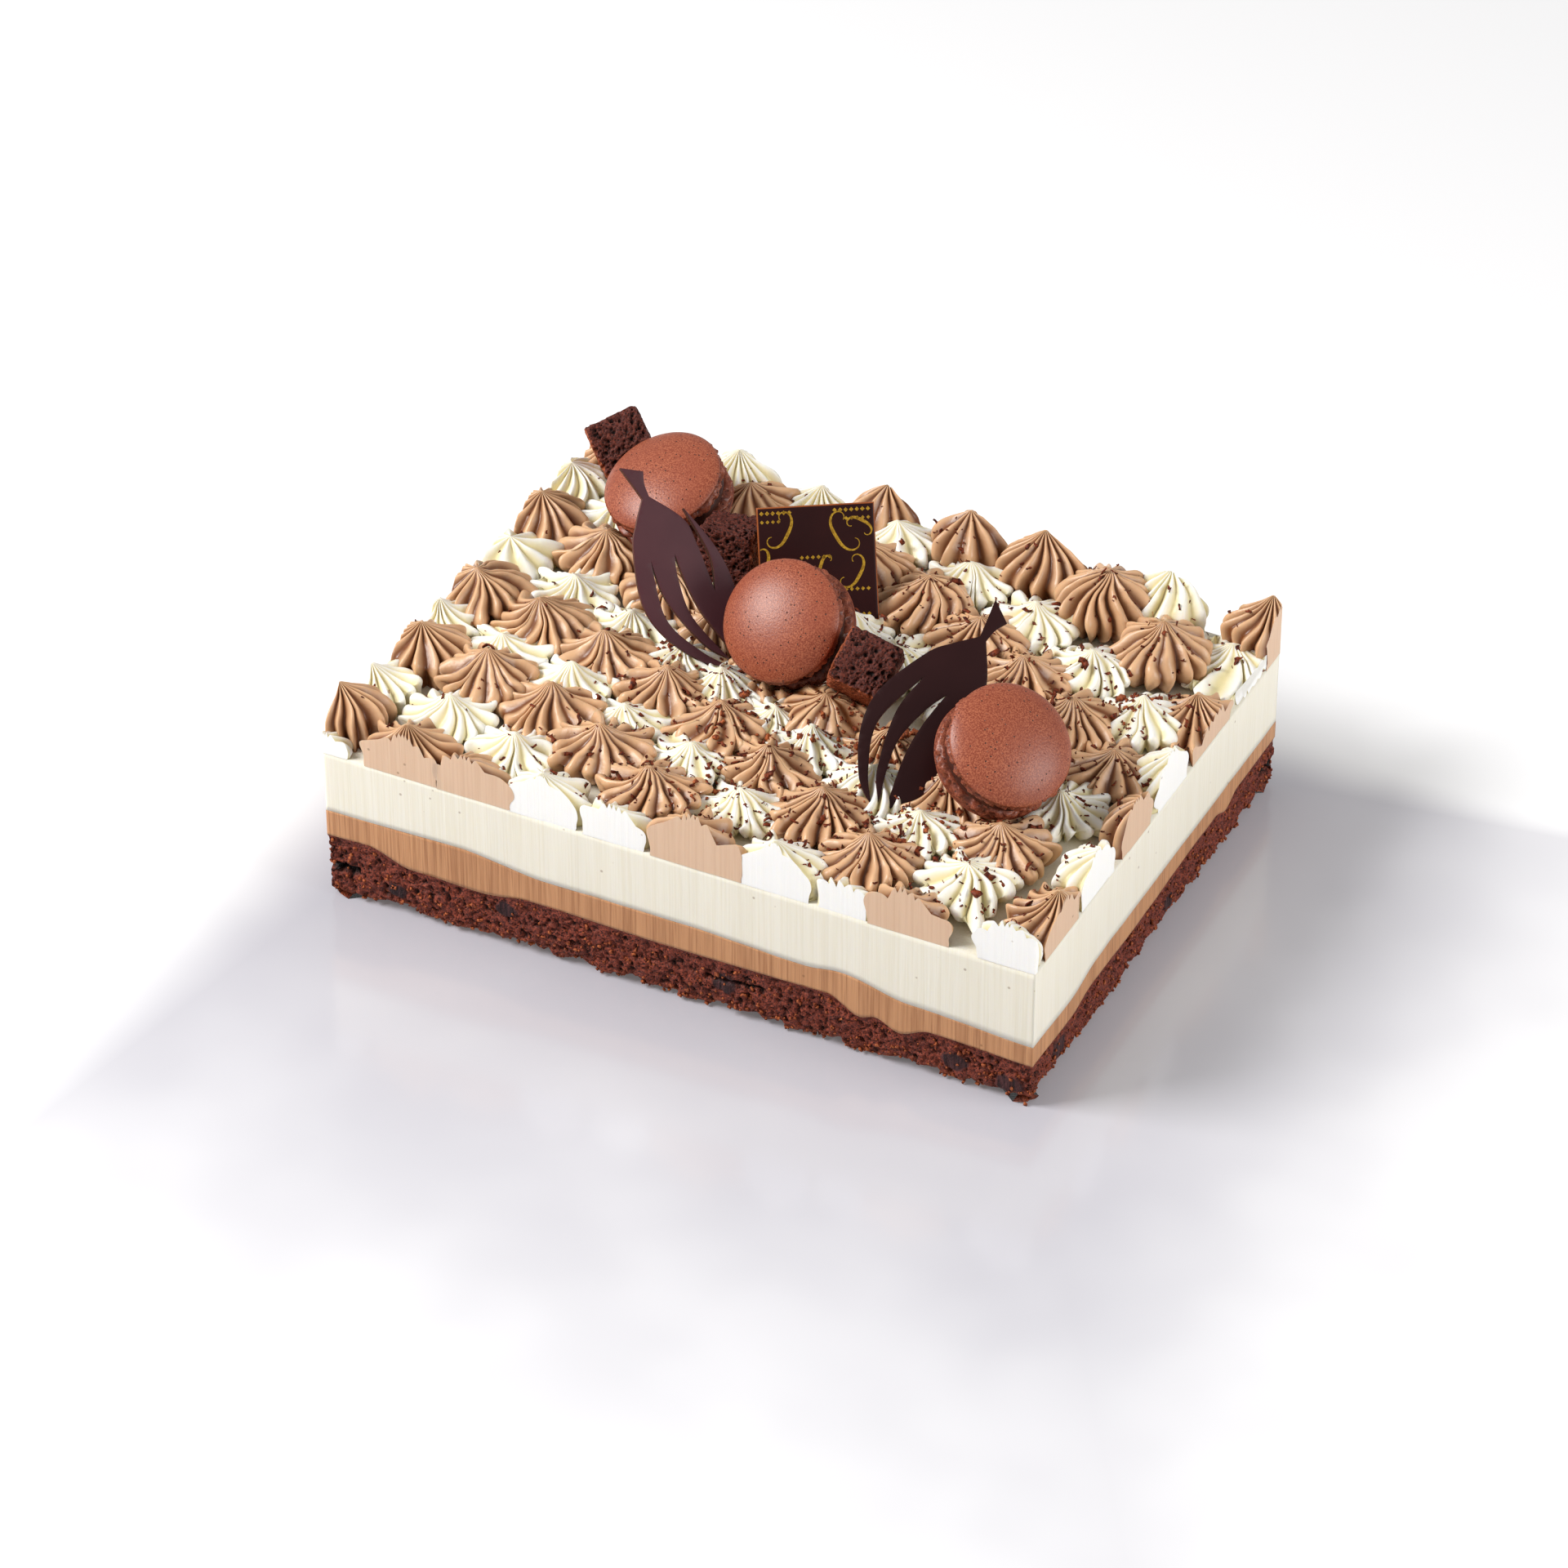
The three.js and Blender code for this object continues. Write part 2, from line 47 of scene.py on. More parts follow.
MM = 0.001
SEED = 4107

# ---------------------------------------------------------------- sizes of the cake

CAKE_LENGTH = 240.0
CAKE_WIDTH = 185.0
HALF = np.array([CAKE_LENGTH / 2, CAKE_WIDTH / 2])
TOP_MIDDLE = 52.4
TOP_SLOPE = -0.0175

# Wavy borders between the layers, as height over x, and how they drift over y
MILK_TOP_OVER_X = [(-120, 32.5), (-73, 33.2), (-43, 30), (0, 29.8), (45, 28), (56, 29.4),
                   (80, 25), (120, 22.7)]
MILK_TOP_OVER_Y = [(-92.5, 0), (-65, -1), (-46, 1.8), (92.5, 1.3)]
BASE_TOP_OVER_X = [(-120, 23.2), (-106, 23.5), (-90, 19), (-66, 18.5), (-48, 20.8), (0, 19.8),
                   (52, 20), (63, 14.8), (68, 16.4), (76, 13.2), (86, 16.8), (120, 15.5)]
BASE_TOP_OVER_Y = [(-92.5, 0), (-65, -0.8), (-48, 1.5), (-15, 1), (30, 2.4), (45, 2),
                   (53, -0.6), (62, 2.4), (92.5, 2.4)]

# Lean of the brownie's pores, and the chips of chocolate that its cut sides show: place, and
# half their width and height
SLANT = (0.35, 0.35, 0.0)
CHOCOLATE_CHIPS = [
    ((17, -92.5, 11.5), (4.6, 4.2)), ((94, -92.5, 8.5), (5.0, 3.6)),
    ((112, -92.5, 6.0), (5.2, 3.4)),
    ((-58, -92.5, 14.5), (4.4, 3.4)), ((120, -72, 8.5), (4.8, 4.0)), ((120, 10, 7.5), (4.0, 3.2)),
    ((-96, -92.5, 9.0), (3.6, 3.0)), ((-120, -30, 9.0), (5.0, 3.6)), ((-120, 45, 13.0), (4.2, 3.4)),
    ((-20, 92.5, 10.0), (5.2, 3.8)), ((64, 92.5, 8.0), (4.2, 3.4)), ((-86, 92.5, 12.0), (4.4, 3.4)),
]

# Runs of piping: cream, the bowed line's start, bow point and end, and how many rosettes
PIPED_RUNS = [
    ("vanilla", [(-119, -94), (-119, -94), (-119, -94)], 1),
    ("milk", [(-119, -80), (-92, -88), (-69, -92)], 3),
    ("vanilla", [(-119, -60), (-61, -70), (-19, -95)], 5),
    ("milk", [(-115, -37), (-51, -46), (6, -87)], 6),
    ("vanilla", [(-119, -20), (-23, -36), (56, -94)], 8),
    ("milk", [(-113, -3), (-9, -21), (78, -89)], 9),
    ("vanilla", [(-116, 21), (-56, 3), (-22, -14)], 5),
    ("vanilla", [(-2, -22), (-2, -22), (-2, -22)], 1),
    ("vanilla", [(17, -29), (64, -45), (110, -86)], 5),
    ("milk", [(-116, 43), (-72, 31), (-36, 12)], 4),
    ("milk", [(-12, 1), (-12, 1), (-12, 1)], 1),
    ("milk", [(13, -13), (63, -27), (116, -68)], 5),
    ("vanilla", [(-118, 66), (-93, 56), (-68, 41)], 3),
    ("vanilla", [(-45, 42), (-22, 39), (-1, 32)], 3),
    ("vanilla", [(20, 25), (74, 9), (122, -46)], 5),
    ("milk", [(-112, 86), (22, 78), (122, -16)], 11),
    ("vanilla", [(-71, 95), (42, 85), (123, 11)], 8),
    ("milk", [(-13, 97), (53, 104), (115, 44)], 6),
    ("vanilla", [(82, 93), (97, 87), (111, 78)], 2),
    ("milk", [(117, 92), (117, 92), (117, 92)], 1),
]

# How each cream is piped: height where the solid gives none, reach of a free rosette, number
# of ribs, share of the room between two rosettes, and depth of the clefts against half the
# width of a rib
CREAMS = {
    "milk": {"height": 16.0, "reach": 16.4, "ribs": 16, "share": 0.54, "cleft": 1.3},
    "vanilla": {"height": 13.0, "reach": 15.4, "ribs": 15, "share": 0.46, "cleft": 1.15},
}

# Every rosette: points across a rib, rows from foot to tip, how far away a neighbour counts, how
# far it reaches over the line between them and how softly its limits blend, how crested its
# ribs are, how deep its clefts may be and how far it sinks into the mousse
RIB_SAMPLES = 9
ROSETTE_ROWS = 30
NEIGHBOUR_RANGE = 46.0
NEIGHBOUR_OVERLAP = 4.4
ROOM_BLEND = 0.9
CREST = 0.2
CLEFT_MOST = 4.6
SINK_IN = 0.4

# How a solid's corner counts as a rosette's tip: how near the middle, how high over the mousse
TIP_RANGE = 4.5
TIP_LEAST = 6.0

# How much ribs differ in place round the rosette, length, drop, bend, depth and sway; and the
# noises of that sway along x, y and z, and of the swelling, as depth, size and seed
RIB_WARP, RIB_LENGTH, RIB_DROP, RIB_BEND, RIB_SINK, RIB_SWAY = 0.8, 0.085, 1.1, 0.15, 0.35, 1.05
SWAYS = [[(1.0, 8.0, SEED + 2), (0.35, 3.4, SEED + 5)],
         [(1.0, 8.0, SEED + 3), (0.35, 3.4, SEED + 6)],
         [(0.5, 7.0, SEED + 4), (0.35, 3.0, SEED + 7)]]
SWELLS = [(0.3, 6.0, SEED), (0.14, 2.0, SEED + 1)]

# Rosettes that the knife went through: how near the side they stand, how crested their ribs
# are, the least depth of their clefts, how much calmer they are, how broad their foot is, how
# far they overlap, and the step in depth between cut faces, which comes round again after so
# many rosettes
CUT_REACH = 6.0
CUT_CREST = 0.9
CUT_CLEFT = 1.7
CUT_CALM = 0.45
CUT_FOOT = 0.93
CUT_OVERLAP = 2.0
CUT_STEP = 0.014
CUT_STEPS = 13

# Profiles of a rosette from its foot to its tip, as shares of reach and of height: a wide star
# with a hollow flank, and a dome
STAR_PROFILE = [(0.56, -0.02), (0.68, 0.04), (0.80, 0.13), (0.91, 0.25), (0.985, 0.36),
                (1.0, 0.45), (0.975, 0.515), (0.91, 0.555), (0.80, 0.565), (0.67, 0.58),
                (0.53, 0.615), (0.41, 0.68), (0.30, 0.765), (0.205, 0.855), (0.13, 0.93),
                (0.05, 0.985)]
DOME_PROFILE = [(0.50, -0.02), (0.68, 0.0), (0.83, 0.06), (0.94, 0.14), (1.0, 0.24),
                (1.01, 0.34), (0.98, 0.45), (0.91, 0.56), (0.80, 0.665), (0.66, 0.76),
                (0.50, 0.84), (0.35, 0.90), (0.22, 0.945), (0.12, 0.975), (0.05, 0.992),
                (0.02, 1.0)]

# How single rosettes were piped, by run and place in it: full from 0, a star, to 1, a dome;
# swirl, the turn of the ribs from rim to tip; and where they differ, the middle, the height,
# the reach, the ribs, the share of the usual cleft, and a pull, which is a compass direction
# in degrees with the added share of reach
SHAPES = {
    (0, 0): dict(full=0.9, height=8.5, reach=9.5),
    (1, 0): dict(full=0.85, swirl=0.15),
    (1, 1): dict(full=0.3, at=(-91.5, -89.6), height=18.0, reach=17.0),
    (1, 2): dict(full=0.8, at=(-70, -96.5), height=17.0, reach=17.0, ribs=17),
    (2, 0): dict(full=0.2, swirl=0.3), (2, 1): dict(full=0.15), (2, 2): dict(full=0.15),
    (2, 3): dict(full=0.6, at=(-44, -91.5), height=17.0, reach=15.5),
    (2, 4): dict(full=0.5, at=(-19.5, -96), height=16.5, reach=16.0, ribs=15),
    (3, 0): dict(full=0.6, swirl=0.1), (3, 1): dict(full=0.4, swirl=0.1),
    (3, 2): dict(full=0.2, swirl=0.2), (3, 3): dict(full=0.3), (3, 4): dict(full=0.15),
    (3, 5): dict(full=0.35, at=(7, -95.8), height=22.5, reach=18.0, ribs=15),
    (4, 0): dict(full=0.3), (4, 1): dict(full=0.1), (4, 2): dict(full=0.1), (4, 3): dict(full=0.15),
    (4, 4): dict(full=0.2), (4, 5): dict(full=0.2),
    (4, 6): dict(full=0.5, at=(34.5, -91.5), height=19.0, reach=16.5),
    (4, 7): dict(full=0.4, at=(56.5, -96.5), height=16.0, reach=11.0, ribs=12),
    (5, 0): dict(full=0.85, swirl=0.1), (5, 1): dict(full=0.45, swirl=0.35),
    (5, 2): dict(full=0.3, swirl=0.1), (5, 3): dict(full=0.25), (5, 4): dict(full=0.25),
    (5, 5): dict(full=0.2, swirl=0.2), (5, 6): dict(full=0.35), (5, 7): dict(full=0.3),
    (5, 8): dict(full=0.35, at=(77, -96), height=20.0, reach=15.0, ribs=14),
    (6, 0): dict(full=1.0, ribs=9, cleft=0.35, reach=17.0), (6, 1): dict(full=0.2),
    (6, 2): dict(full=0.15), (8, 0): dict(full=0.1), (8, 1): dict(full=0.5, reach=18.0),
    (8, 2): dict(full=0.2, swirl=0.2),
    (8, 3): dict(full=0.6, pull=(-85, 0.75)),
    (8, 4): dict(full=0.95, at=(111, -96), height=17.5, reach=13.0),
    (9, 0): dict(full=0.85, swirl=0.1), (9, 1): dict(full=0.6, swirl=0.2),
    (11, 0): dict(full=0.9, cleft=0.5), (11, 1): dict(full=0.2),
    (11, 3): dict(full=0.35, swirl=0.1),
    (11, 4): dict(full=0.25, at=(117, -72), reach=15.5),
    (12, 0): dict(full=0.85), (14, 3): dict(full=0.3),
    (14, 4): dict(full=0.6, at=(122, -48), height=18.0, reach=16.0),
    (15, 2): dict(full=0.6), (15, 5): dict(full=0.9), (15, 6): dict(full=0.5, swirl=0.2),
    (15, 7): dict(full=0.35), (15, 8): dict(full=0.4), (15, 9): dict(full=0.35),
    (15, 10): dict(full=0.9, at=(123, -20), height=17.5, reach=15.0),
    (16, 0): dict(full=0.85, at=(-68, 89.5), height=20.0), (16, 1): dict(full=0.6),
    (16, 2): dict(full=0.5), (16, 3): dict(full=0.2, swirl=0.5),
    (16, 4): dict(full=0.35, swirl=0.6), (16, 5): dict(full=0.3, swirl=0.7),
    (16, 6): dict(full=0.3, swirl=0.3),
    (16, 7): dict(full=0.7, at=(121.5, 6), height=18.5, reach=14.5),
    (17, 0): dict(full=0.9, ribs=12, cleft=0.5, at=(-17, 92.8), height=21.0),
    (17, 1): dict(full=0.85, ribs=10, cleft=0.7, at=(13.2, 91.2), height=21.0),
    (17, 2): dict(full=0.7, swirl=0.35, height=21.0),
    (17, 3): dict(full=1.0, swirl=0.05, height=20.5),
    (17, 4): dict(full=0.5), (17, 5): dict(full=0.4, at=(116.5, 38.5), reach=16.5),
    (18, 0): dict(full=0.95, height=19.5), (19, 0): dict(full=0.5, height=21.0),
    (18, 1): dict(full=0.5, swirl=0.4, at=(111, 72), reach=20.0),
}

# Decorations: middle, compass heading and rise of the face, turn about it, and a leaf's size;
# MACARON_RISE is the height of a shell over the share of its radius
MACARON_RADIUS = 20.4
MACARON_RISE = np.array([(0, 10.4), (0.5, 9.4), (0.84, 6.2), (0.975, 3.1), (1, 1.1)]).T
MACARON_HALF_FILLING = 2.3
FILLING_RADIUS = 18.6
FILLING_THICKNESS = 4.0
MACARONS = [
    ((-76, 55, 75), -25, 65, 0),
    ((-8.3, 4.5, 76), -6, 42, 0),
    ((80, -30, 78), 58, 50, 0),
]
CUBE_SIZE = 19.0
CUBES = [
    ((-104, 76, 74), 26, 34, 25),
    ((-46, 39.4, 72), 10, 12, 0),
    ((22.3, -5, 75), 26, 46, -27),
]
LEAF_THICKNESS = 1.5
LEAF_CURL = 0.004
LEAF_MESH_STEP = 2.0
LEAF_MESH_LINES = [(0, -19, 15), (1, -62, 13)]
LEAF_SMOOTHNESS = 9
LEAVES = [
    ((-62.3, 12.6, 102.1), 56.6, 41.7, 10, 0.94),
    ((58.6, 1.1, 92.9), 34, 46, -36.5, 1.0),
]
PLAQUE_SIZE = 37.0
PLAQUE_THICKNESS = 2.0
PLAQUE = ((-16, 40, 75), 32, 30, 0)


# ---------------------------------------------------------------- numbers and noise

def smooth(share):
    """Smoothstep of a share from 0 to 1."""
    return share * share * (3 - 2 * share)


def along(pairs, place):
    """Smooth line through (place, value) pairs: the smoothstep of the place between two pairs
    blends their values."""
    places, values = np.array(pairs, float).T
    step = np.clip(np.searchsorted(places, place, side="right"), 1, len(places) - 1)
    share = smooth(np.clip((place - places[step - 1]) / (places[step] - places[step - 1]), 0, 1))
    return values[step - 1] + (values[step] - values[step - 1]) * share


def mousse_top(x):
    """Height of the cake's top, a plane that falls slightly towards +X."""
    return TOP_MIDDLE + TOP_SLOPE * x


def milk_top(x, y):
    """Height of the border between the two mousses, one wave over x plus one over y."""
    return along(MILK_TOP_OVER_X, x) + along(MILK_TOP_OVER_Y, y)


def base_top(x, y):
    """Height of the brownie's top, one wave over x plus one over y."""
    return along(BASE_TOP_OVER_X, x) + along(BASE_TOP_OVER_Y, y)


def lattice_value(cell, seed):
    """A number from 0 to 1 for each lattice cell: its three whole numbers and the seed mixed by
    multiplying and shifting."""
    mixed = cell[..., 0] * 73856093 ^ cell[..., 1] * 19349663 ^ cell[..., 2] * 83492791
    mixed = (mixed ^ seed * 2654435761) & 0xffffffff
    mixed = ((mixed ^ mixed >> 15) * 2246822519) & 0xffffffff
    mixed = ((mixed ^ mixed >> 13) * 3266489917) & 0xffffffff
    return (mixed ^ mixed >> 16) / 0xffffffff


def lumps(points, size, seed):
    """Smooth noise from -1 to 1: the values at the eight corners of a point's lattice cell,
    blended by the smoothstep of its place in the cell."""
    scaled = points / size
    cell = np.floor(scaled).astype(np.int64)
    part = smooth(scaled - cell)
    total = np.zeros(points.shape[:-1])
    for corner in product((0, 1), repeat=3):
        weight = np.prod(np.where(corner, part, 1 - part), axis=-1)
        total += weight * lattice_value(cell + np.array(corner), seed)
    return 2 * total - 1


def bubbles(points, size, seed):
    """Distance, in cells, to the nearest bubble, with one bubble at a random place in each
    lattice cell."""
    scaled = points / size
    cell = np.floor(scaled).astype(np.int64)
    nearest = np.full(points.shape[:-1], np.inf)
    for step in product((-1, 0, 1), repeat=3):
        near = cell + np.array(step)
        middle = near + np.stack([lattice_value(near, seed + k) for k in range(3)], axis=-1)
        nearest = np.minimum(nearest, np.linalg.norm(scaled - middle, axis=-1))
    return nearest


def noisy(start, points, *layers):
    """A start plus layers of noise, each with its depth, size and seed."""
    for depth, size, seed in layers:
        start = start + depth * lumps(points, size, seed)
    return start


def pits(points, size, seed, reach, depth=1.0):
    """Round pits: how far a point is within reach of its nearest bubble, times the depth."""
    return np.clip(reach - bubbles(points, size, seed), 0, 1) * depth


def turned(heading, rise, spin):
    """Rotation whose columns are a decoration's own axes: a turn about the vertical, a tilt of
    90 degrees less the rise, and a spin about its own facing axis."""
    def turn(axis, degrees):
        return np.array(Matrix.Rotation(math.radians(degrees), 3, axis))
    return turn("Z", heading) @ turn("X", 90 - rise) @ turn("Z", spin)


def placed(points, spot):
    """Points of a decoration in its own axes, carried to its place on the cake."""
    middle, heading, rise, spin = spot[:4]
    return points @ turned(heading, rise, spin).T + np.array(middle, float)


def in_axes_of(points, spot):
    """Points of the cake in a decoration's own axes, the reverse of placed."""
    middle, heading, rise, spin = spot[:4]
    return (points - np.array(middle, float)) @ turned(heading, rise, spin)


# ---------------------------------------------------------------- meshes

NO_TRIANGLES = np.zeros((0, 3), int)


def full_turn(count):
    """Angles of a full turn in even steps."""
    return np.arange(count) * 2 * np.pi / count


def at_level(points, level):
    """Flat points with a height added, one for all or one for each."""
    return np.concatenate([points, np.broadcast_to(level, points.shape[:-1])[..., None]], axis=-1)


def about_axis(radius, turn, height):
    """Points at a distance and an angle round the upright axis, at a height."""
    radius, turn, height = np.broadcast_arrays(radius, turn, height)
    return np.stack([radius * np.cos(turn), radius * np.sin(turn), height], axis=-1)


def evenly(profile, scale, count):
    """A profile in even steps along its length, which is measured at a scale."""
    lengths = np.append(0, np.cumsum(np.hypot(*np.diff(profile * scale, axis=0).T)))
    steps = np.linspace(0, lengths[-1], count)
    return np.stack([np.interp(steps, lengths, profile[:, k]) for k in (0, 1)], axis=-1)


def ring_faces(rows, columns, first=0):
    """Quads between the neighbouring rows of a grid whose columns close on themselves."""
    row, column = np.meshgrid(np.arange(rows - 1), np.arange(columns), indexing="ij")
    after = (column + 1) % columns
    quads = np.stack([row * columns + column, row * columns + after,
                      (row + 1) * columns + after, (row + 1) * columns + column], axis=-1)
    return quads.reshape(-1, 4) + first


def sheet_faces(rows, columns, first=0):
    """Quads of an open grid."""
    row, column = np.meshgrid(np.arange(rows - 1), np.arange(columns - 1), indexing="ij")
    start = row * columns + column
    quads = np.stack([start, start + 1, start + columns + 1, start + columns], axis=-1)
    return quads.reshape(-1, 4) + first


def closed_turn(rings, foot, tip):
    """A body of rings closed at both ends by a middle point: points, quads and triangles."""
    rows, columns = rings.shape[:2]
    points = np.concatenate([rings.reshape(-1, 3), [foot, tip]])
    column = np.arange(columns)
    after = (column + 1) % columns
    last, end = (rows - 1) * columns, rows * columns
    foot_fan = at_level(np.stack([after, column], axis=-1), end)
    tip_fan = at_level(np.stack([last + column, last + after], axis=-1), end + 1)
    return points, ring_faces(rows, columns), np.concatenate([foot_fan, tip_fan])


def joined(bodies):
    """Several bodies as one: their points one after another, their faces renumbered."""
    starts = np.cumsum([0] + [len(points) for points, _, _ in bodies[:-1]])
    quads, triangles = (np.concatenate([body[k] + start for body, start in zip(bodies, starts)])
                        for k in (1, 2))
    return np.concatenate([body[0] for body in bodies]), quads, triangles


def adjust(thing, **settings):
    """Sets a thing's own settings and gives it back."""
    for title, value in settings.items():
        setattr(thing, title, value)
    return thing


def link(name, data):
    """A new object in the scene."""
    thing = bpy.data.objects.new(name, data)
    bpy.context.scene.collection.objects.link(thing)
    return thing


def make_piece(name, body, finishes, stands_for=(), values=None, flat=False):
    """A mesh object from points in millimetres, its faces and its values per point, riding on
    the cake."""
    points, quads, triangles = body
    corners = np.concatenate([quads.ravel(), triangles.ravel()]).astype(np.int32)
    starts = np.concatenate([np.arange(len(quads)) * 4,
                             len(quads) * 4 + np.arange(len(triangles)) * 3]).astype(np.int32)
    mesh = bpy.data.meshes.new(name)
    mesh.vertices.add(len(points))
    mesh.vertices.foreach_set("co", (points * MM).astype(np.float32).ravel())
    mesh.loops.add(len(corners))
    mesh.loops.foreach_set("vertex_index", corners)
    mesh.polygons.add(len(starts))
    mesh.polygons.foreach_set("loop_start", starts)
    mesh.update(calc_edges=True)
    for title, numbers in (values or {}).items():
        layer = mesh.attributes.new(title, "FLOAT", "POINT")
        layer.data.foreach_set("value", np.asarray(numbers, np.float32).ravel())
    if not flat:
        mesh.shade_smooth()
    return settle(link(name, mesh), finishes, stands_for)


def settle(piece, finishes, stands_for=()):
    """Gives a finished object its materials, its ride and the nodes it stands for."""
    for finish in finishes:
        piece.data.materials.append(finish)
    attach(piece, "root")
    if stands_for:
        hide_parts(*stands_for)
    return piece


def nodes_of(base):
    """Names of the solid called base and of its separate bodies, which end in a number."""
    tail = len(base) + 1
    return [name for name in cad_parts
            if name == base or name.startswith(base + "_") and name[tail:].isdigit()]


def mesh_points(mesh, precision=np.float32):
    """Places of a mesh's points, in metres."""
    flat = np.zeros(len(mesh.vertices) * 3, precision)
    mesh.vertices.foreach_get("co", flat)
    return flat.reshape(-1, 3)


def node_points(names):
    """Corners of those solids, in millimetres."""
    return np.concatenate([mesh_points(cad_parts[name].data) / MM for name in names])


# ---------------------------------------------------------------- finishes

class Finish:
    """One procedural material, with short calls to add its nodes and join them."""

    def __init__(self, name, **shader_values):
        self.material = bpy.data.materials.new(name)
        self.material.use_nodes = True
        self.tree = self.material.node_tree
        self.shader = self.tree.nodes["Principled BSDF"]
        self.place = self.add("ShaderNodeTexCoord").outputs["Object"]
        for title, value in shader_values.items():
            self.shader.inputs[title.replace("_", " ")].default_value = value

    def feed(self, socket, value):
        """Joins a socket to another one, or gives it a plain value."""
        if isinstance(value, bpy.types.NodeSocket):
            self.tree.links.new(value, socket)
        else:
            socket.default_value = value

    def add(self, kind, inputs=None, **settings):
        """A new node with its settings, its inputs fed."""
        node = adjust(self.tree.nodes.new(kind), **settings)
        for title, value in (inputs or {}).items():
            self.feed(node.inputs[title], value)
        return node

    def noise(self, per_mm, detail=2.0, stretch=(1, 1, 1), roughness=0.5):
        """Noise with that many swells to a millimetre, closer where stretch is larger."""
        spread = self.add("ShaderNodeMapping", {"Vector": self.place, "Scale": stretch})
        return self.add("ShaderNodeTexNoise", {
            "Vector": spread.outputs["Vector"], "Scale": per_mm / MM, "Detail": detail,
            "Roughness": roughness}).outputs["Fac"]

    def swells(self, per_mm, detail, low, high, to_low=0.0, to_high=1.0):
        """That noise, from one number below low to another above high."""
        return self.between(self.noise(per_mm, detail), low, high, to_low, to_high)

    def cells(self, per_mm):
        """Distance to the nearest of scattered points, with that many to a millimetre."""
        return self.add("ShaderNodeTexVoronoi", {
            "Vector": self.place, "Scale": per_mm / MM}).outputs["Distance"]

    def value(self, title):
        """A number that the piece's own points carry."""
        return self.add("ShaderNodeAttribute", attribute_name=title).outputs["Fac"]

    def between(self, number, low, high, to_low=0.0, to_high=1.0):
        """A number brought smoothly from one range to another."""
        return self.add("ShaderNodeMapRange", {
            "Value": number, "From Min": low, "From Max": high, "To Min": to_low,
            "To Max": to_high}, interpolation_type="SMOOTHSTEP").outputs["Result"]

    def math(self, operation, first, second):
        """Two numbers brought together."""
        return self.add("ShaderNodeMath", {0: first, 1: second}, operation=operation).outputs[0]

    def times(self, first, second):
        """One number times another."""
        return self.math("MULTIPLY", first, second)

    def blend(self, share, first, second):
        """Two colours mixed by a share."""
        return self.add("ShaderNodeMix", {"Factor": share, "A": first, "B": second},
                        data_type="RGBA").outputs["Result"]

    def colour(self, result):
        """The surface's own colour."""
        self.feed(self.shader.inputs["Base Color"], result)

    def relief(self, *layers):
        """Bumps one on another: height socket, depth in millimetres, strength."""
        normal = None
        for height, depth, strength in layers:
            bump = self.add("ShaderNodeBump", {
                "Height": height, "Distance": depth * MM, "Strength": strength})
            if normal:
                self.feed(bump.inputs["Normal"], normal)
            normal = bump.outputs["Normal"]
        self.feed(self.shader.inputs["Normal"], normal)


def tint(red, green, blue):
    """A colour given in the 0 to 255 steps of a screen, as linear numbers."""
    shares = np.array([red, green, blue]) / 255
    linear = np.where(shares <= 0.04045, shares / 12.92, ((shares + 0.055) / 1.055) ** 2.4)
    return (*linear.tolist(), 1.0)


def soft_inside(finish, weight, radius):
    """Light that enters the surface and comes out near by."""
    for title, value in (("Weight", weight), ("Radius", radius), ("Scale", MM)):
        finish.shader.inputs["Subsurface " + title].default_value = value
    return finish.material


def piped_cream(name, ridge, cleft, radius):
    """Satin cream: its own colour on the ribs; the deeper colour is painted shade, down in the
    clefts and round the foot.
    """
    finish = Finish(name, Roughness=0.36, Specular_IOR_Level=0.5)
    # Painted shade: the cleft value blends in the deeper colour down in the clefts and at the foot.
    deep = finish.between(finish.value("cleft"), 0.15, 0.95)
    cloud = finish.swells(0.12, 2.0, 0.3, 0.7, 0.0, 0.35)
    base = finish.blend(deep, ridge, cleft)
    finish.colour(finish.blend(finish.times(cloud, 0.5), base, cleft))
    finish.relief((finish.noise(0.9, 4.0), 0.18, 0.5), (finish.cells(1.6), 0.05, 0.25))
    return soft_inside(finish, 0.25, radius)


def knife_cut(name, light, dark, streaks, radius, depth=0.12):
    """A clean cut: fine streaks that run up and down where the knife passed."""
    finish = Finish(name, Roughness=0.5, Specular_IOR_Level=0.35)
    fine = finish.noise(1.5, 4.0, (1, 1, 0.015), 0.62)
    broad = finish.noise(0.16, 2.0, (1, 1, 0.12))
    share = finish.times(finish.between(fine, 0.4, 0.68), streaks)
    cloud = finish.times(finish.between(broad, 0.35, 0.7), 0.28 * streaks)
    pin = finish.between(finish.cells(0.12), 0.03, 0.075, 0.5, 0.0)
    base = finish.blend(cloud, finish.blend(share, light, dark), dark)
    finish.colour(finish.blend(pin, base, tint(120, 80, 45)))
    finish.relief((fine, depth, 0.8), (finish.noise(1.2, 3.0), 0.05, 0.3))
    return soft_inside(finish, 0.2, radius)


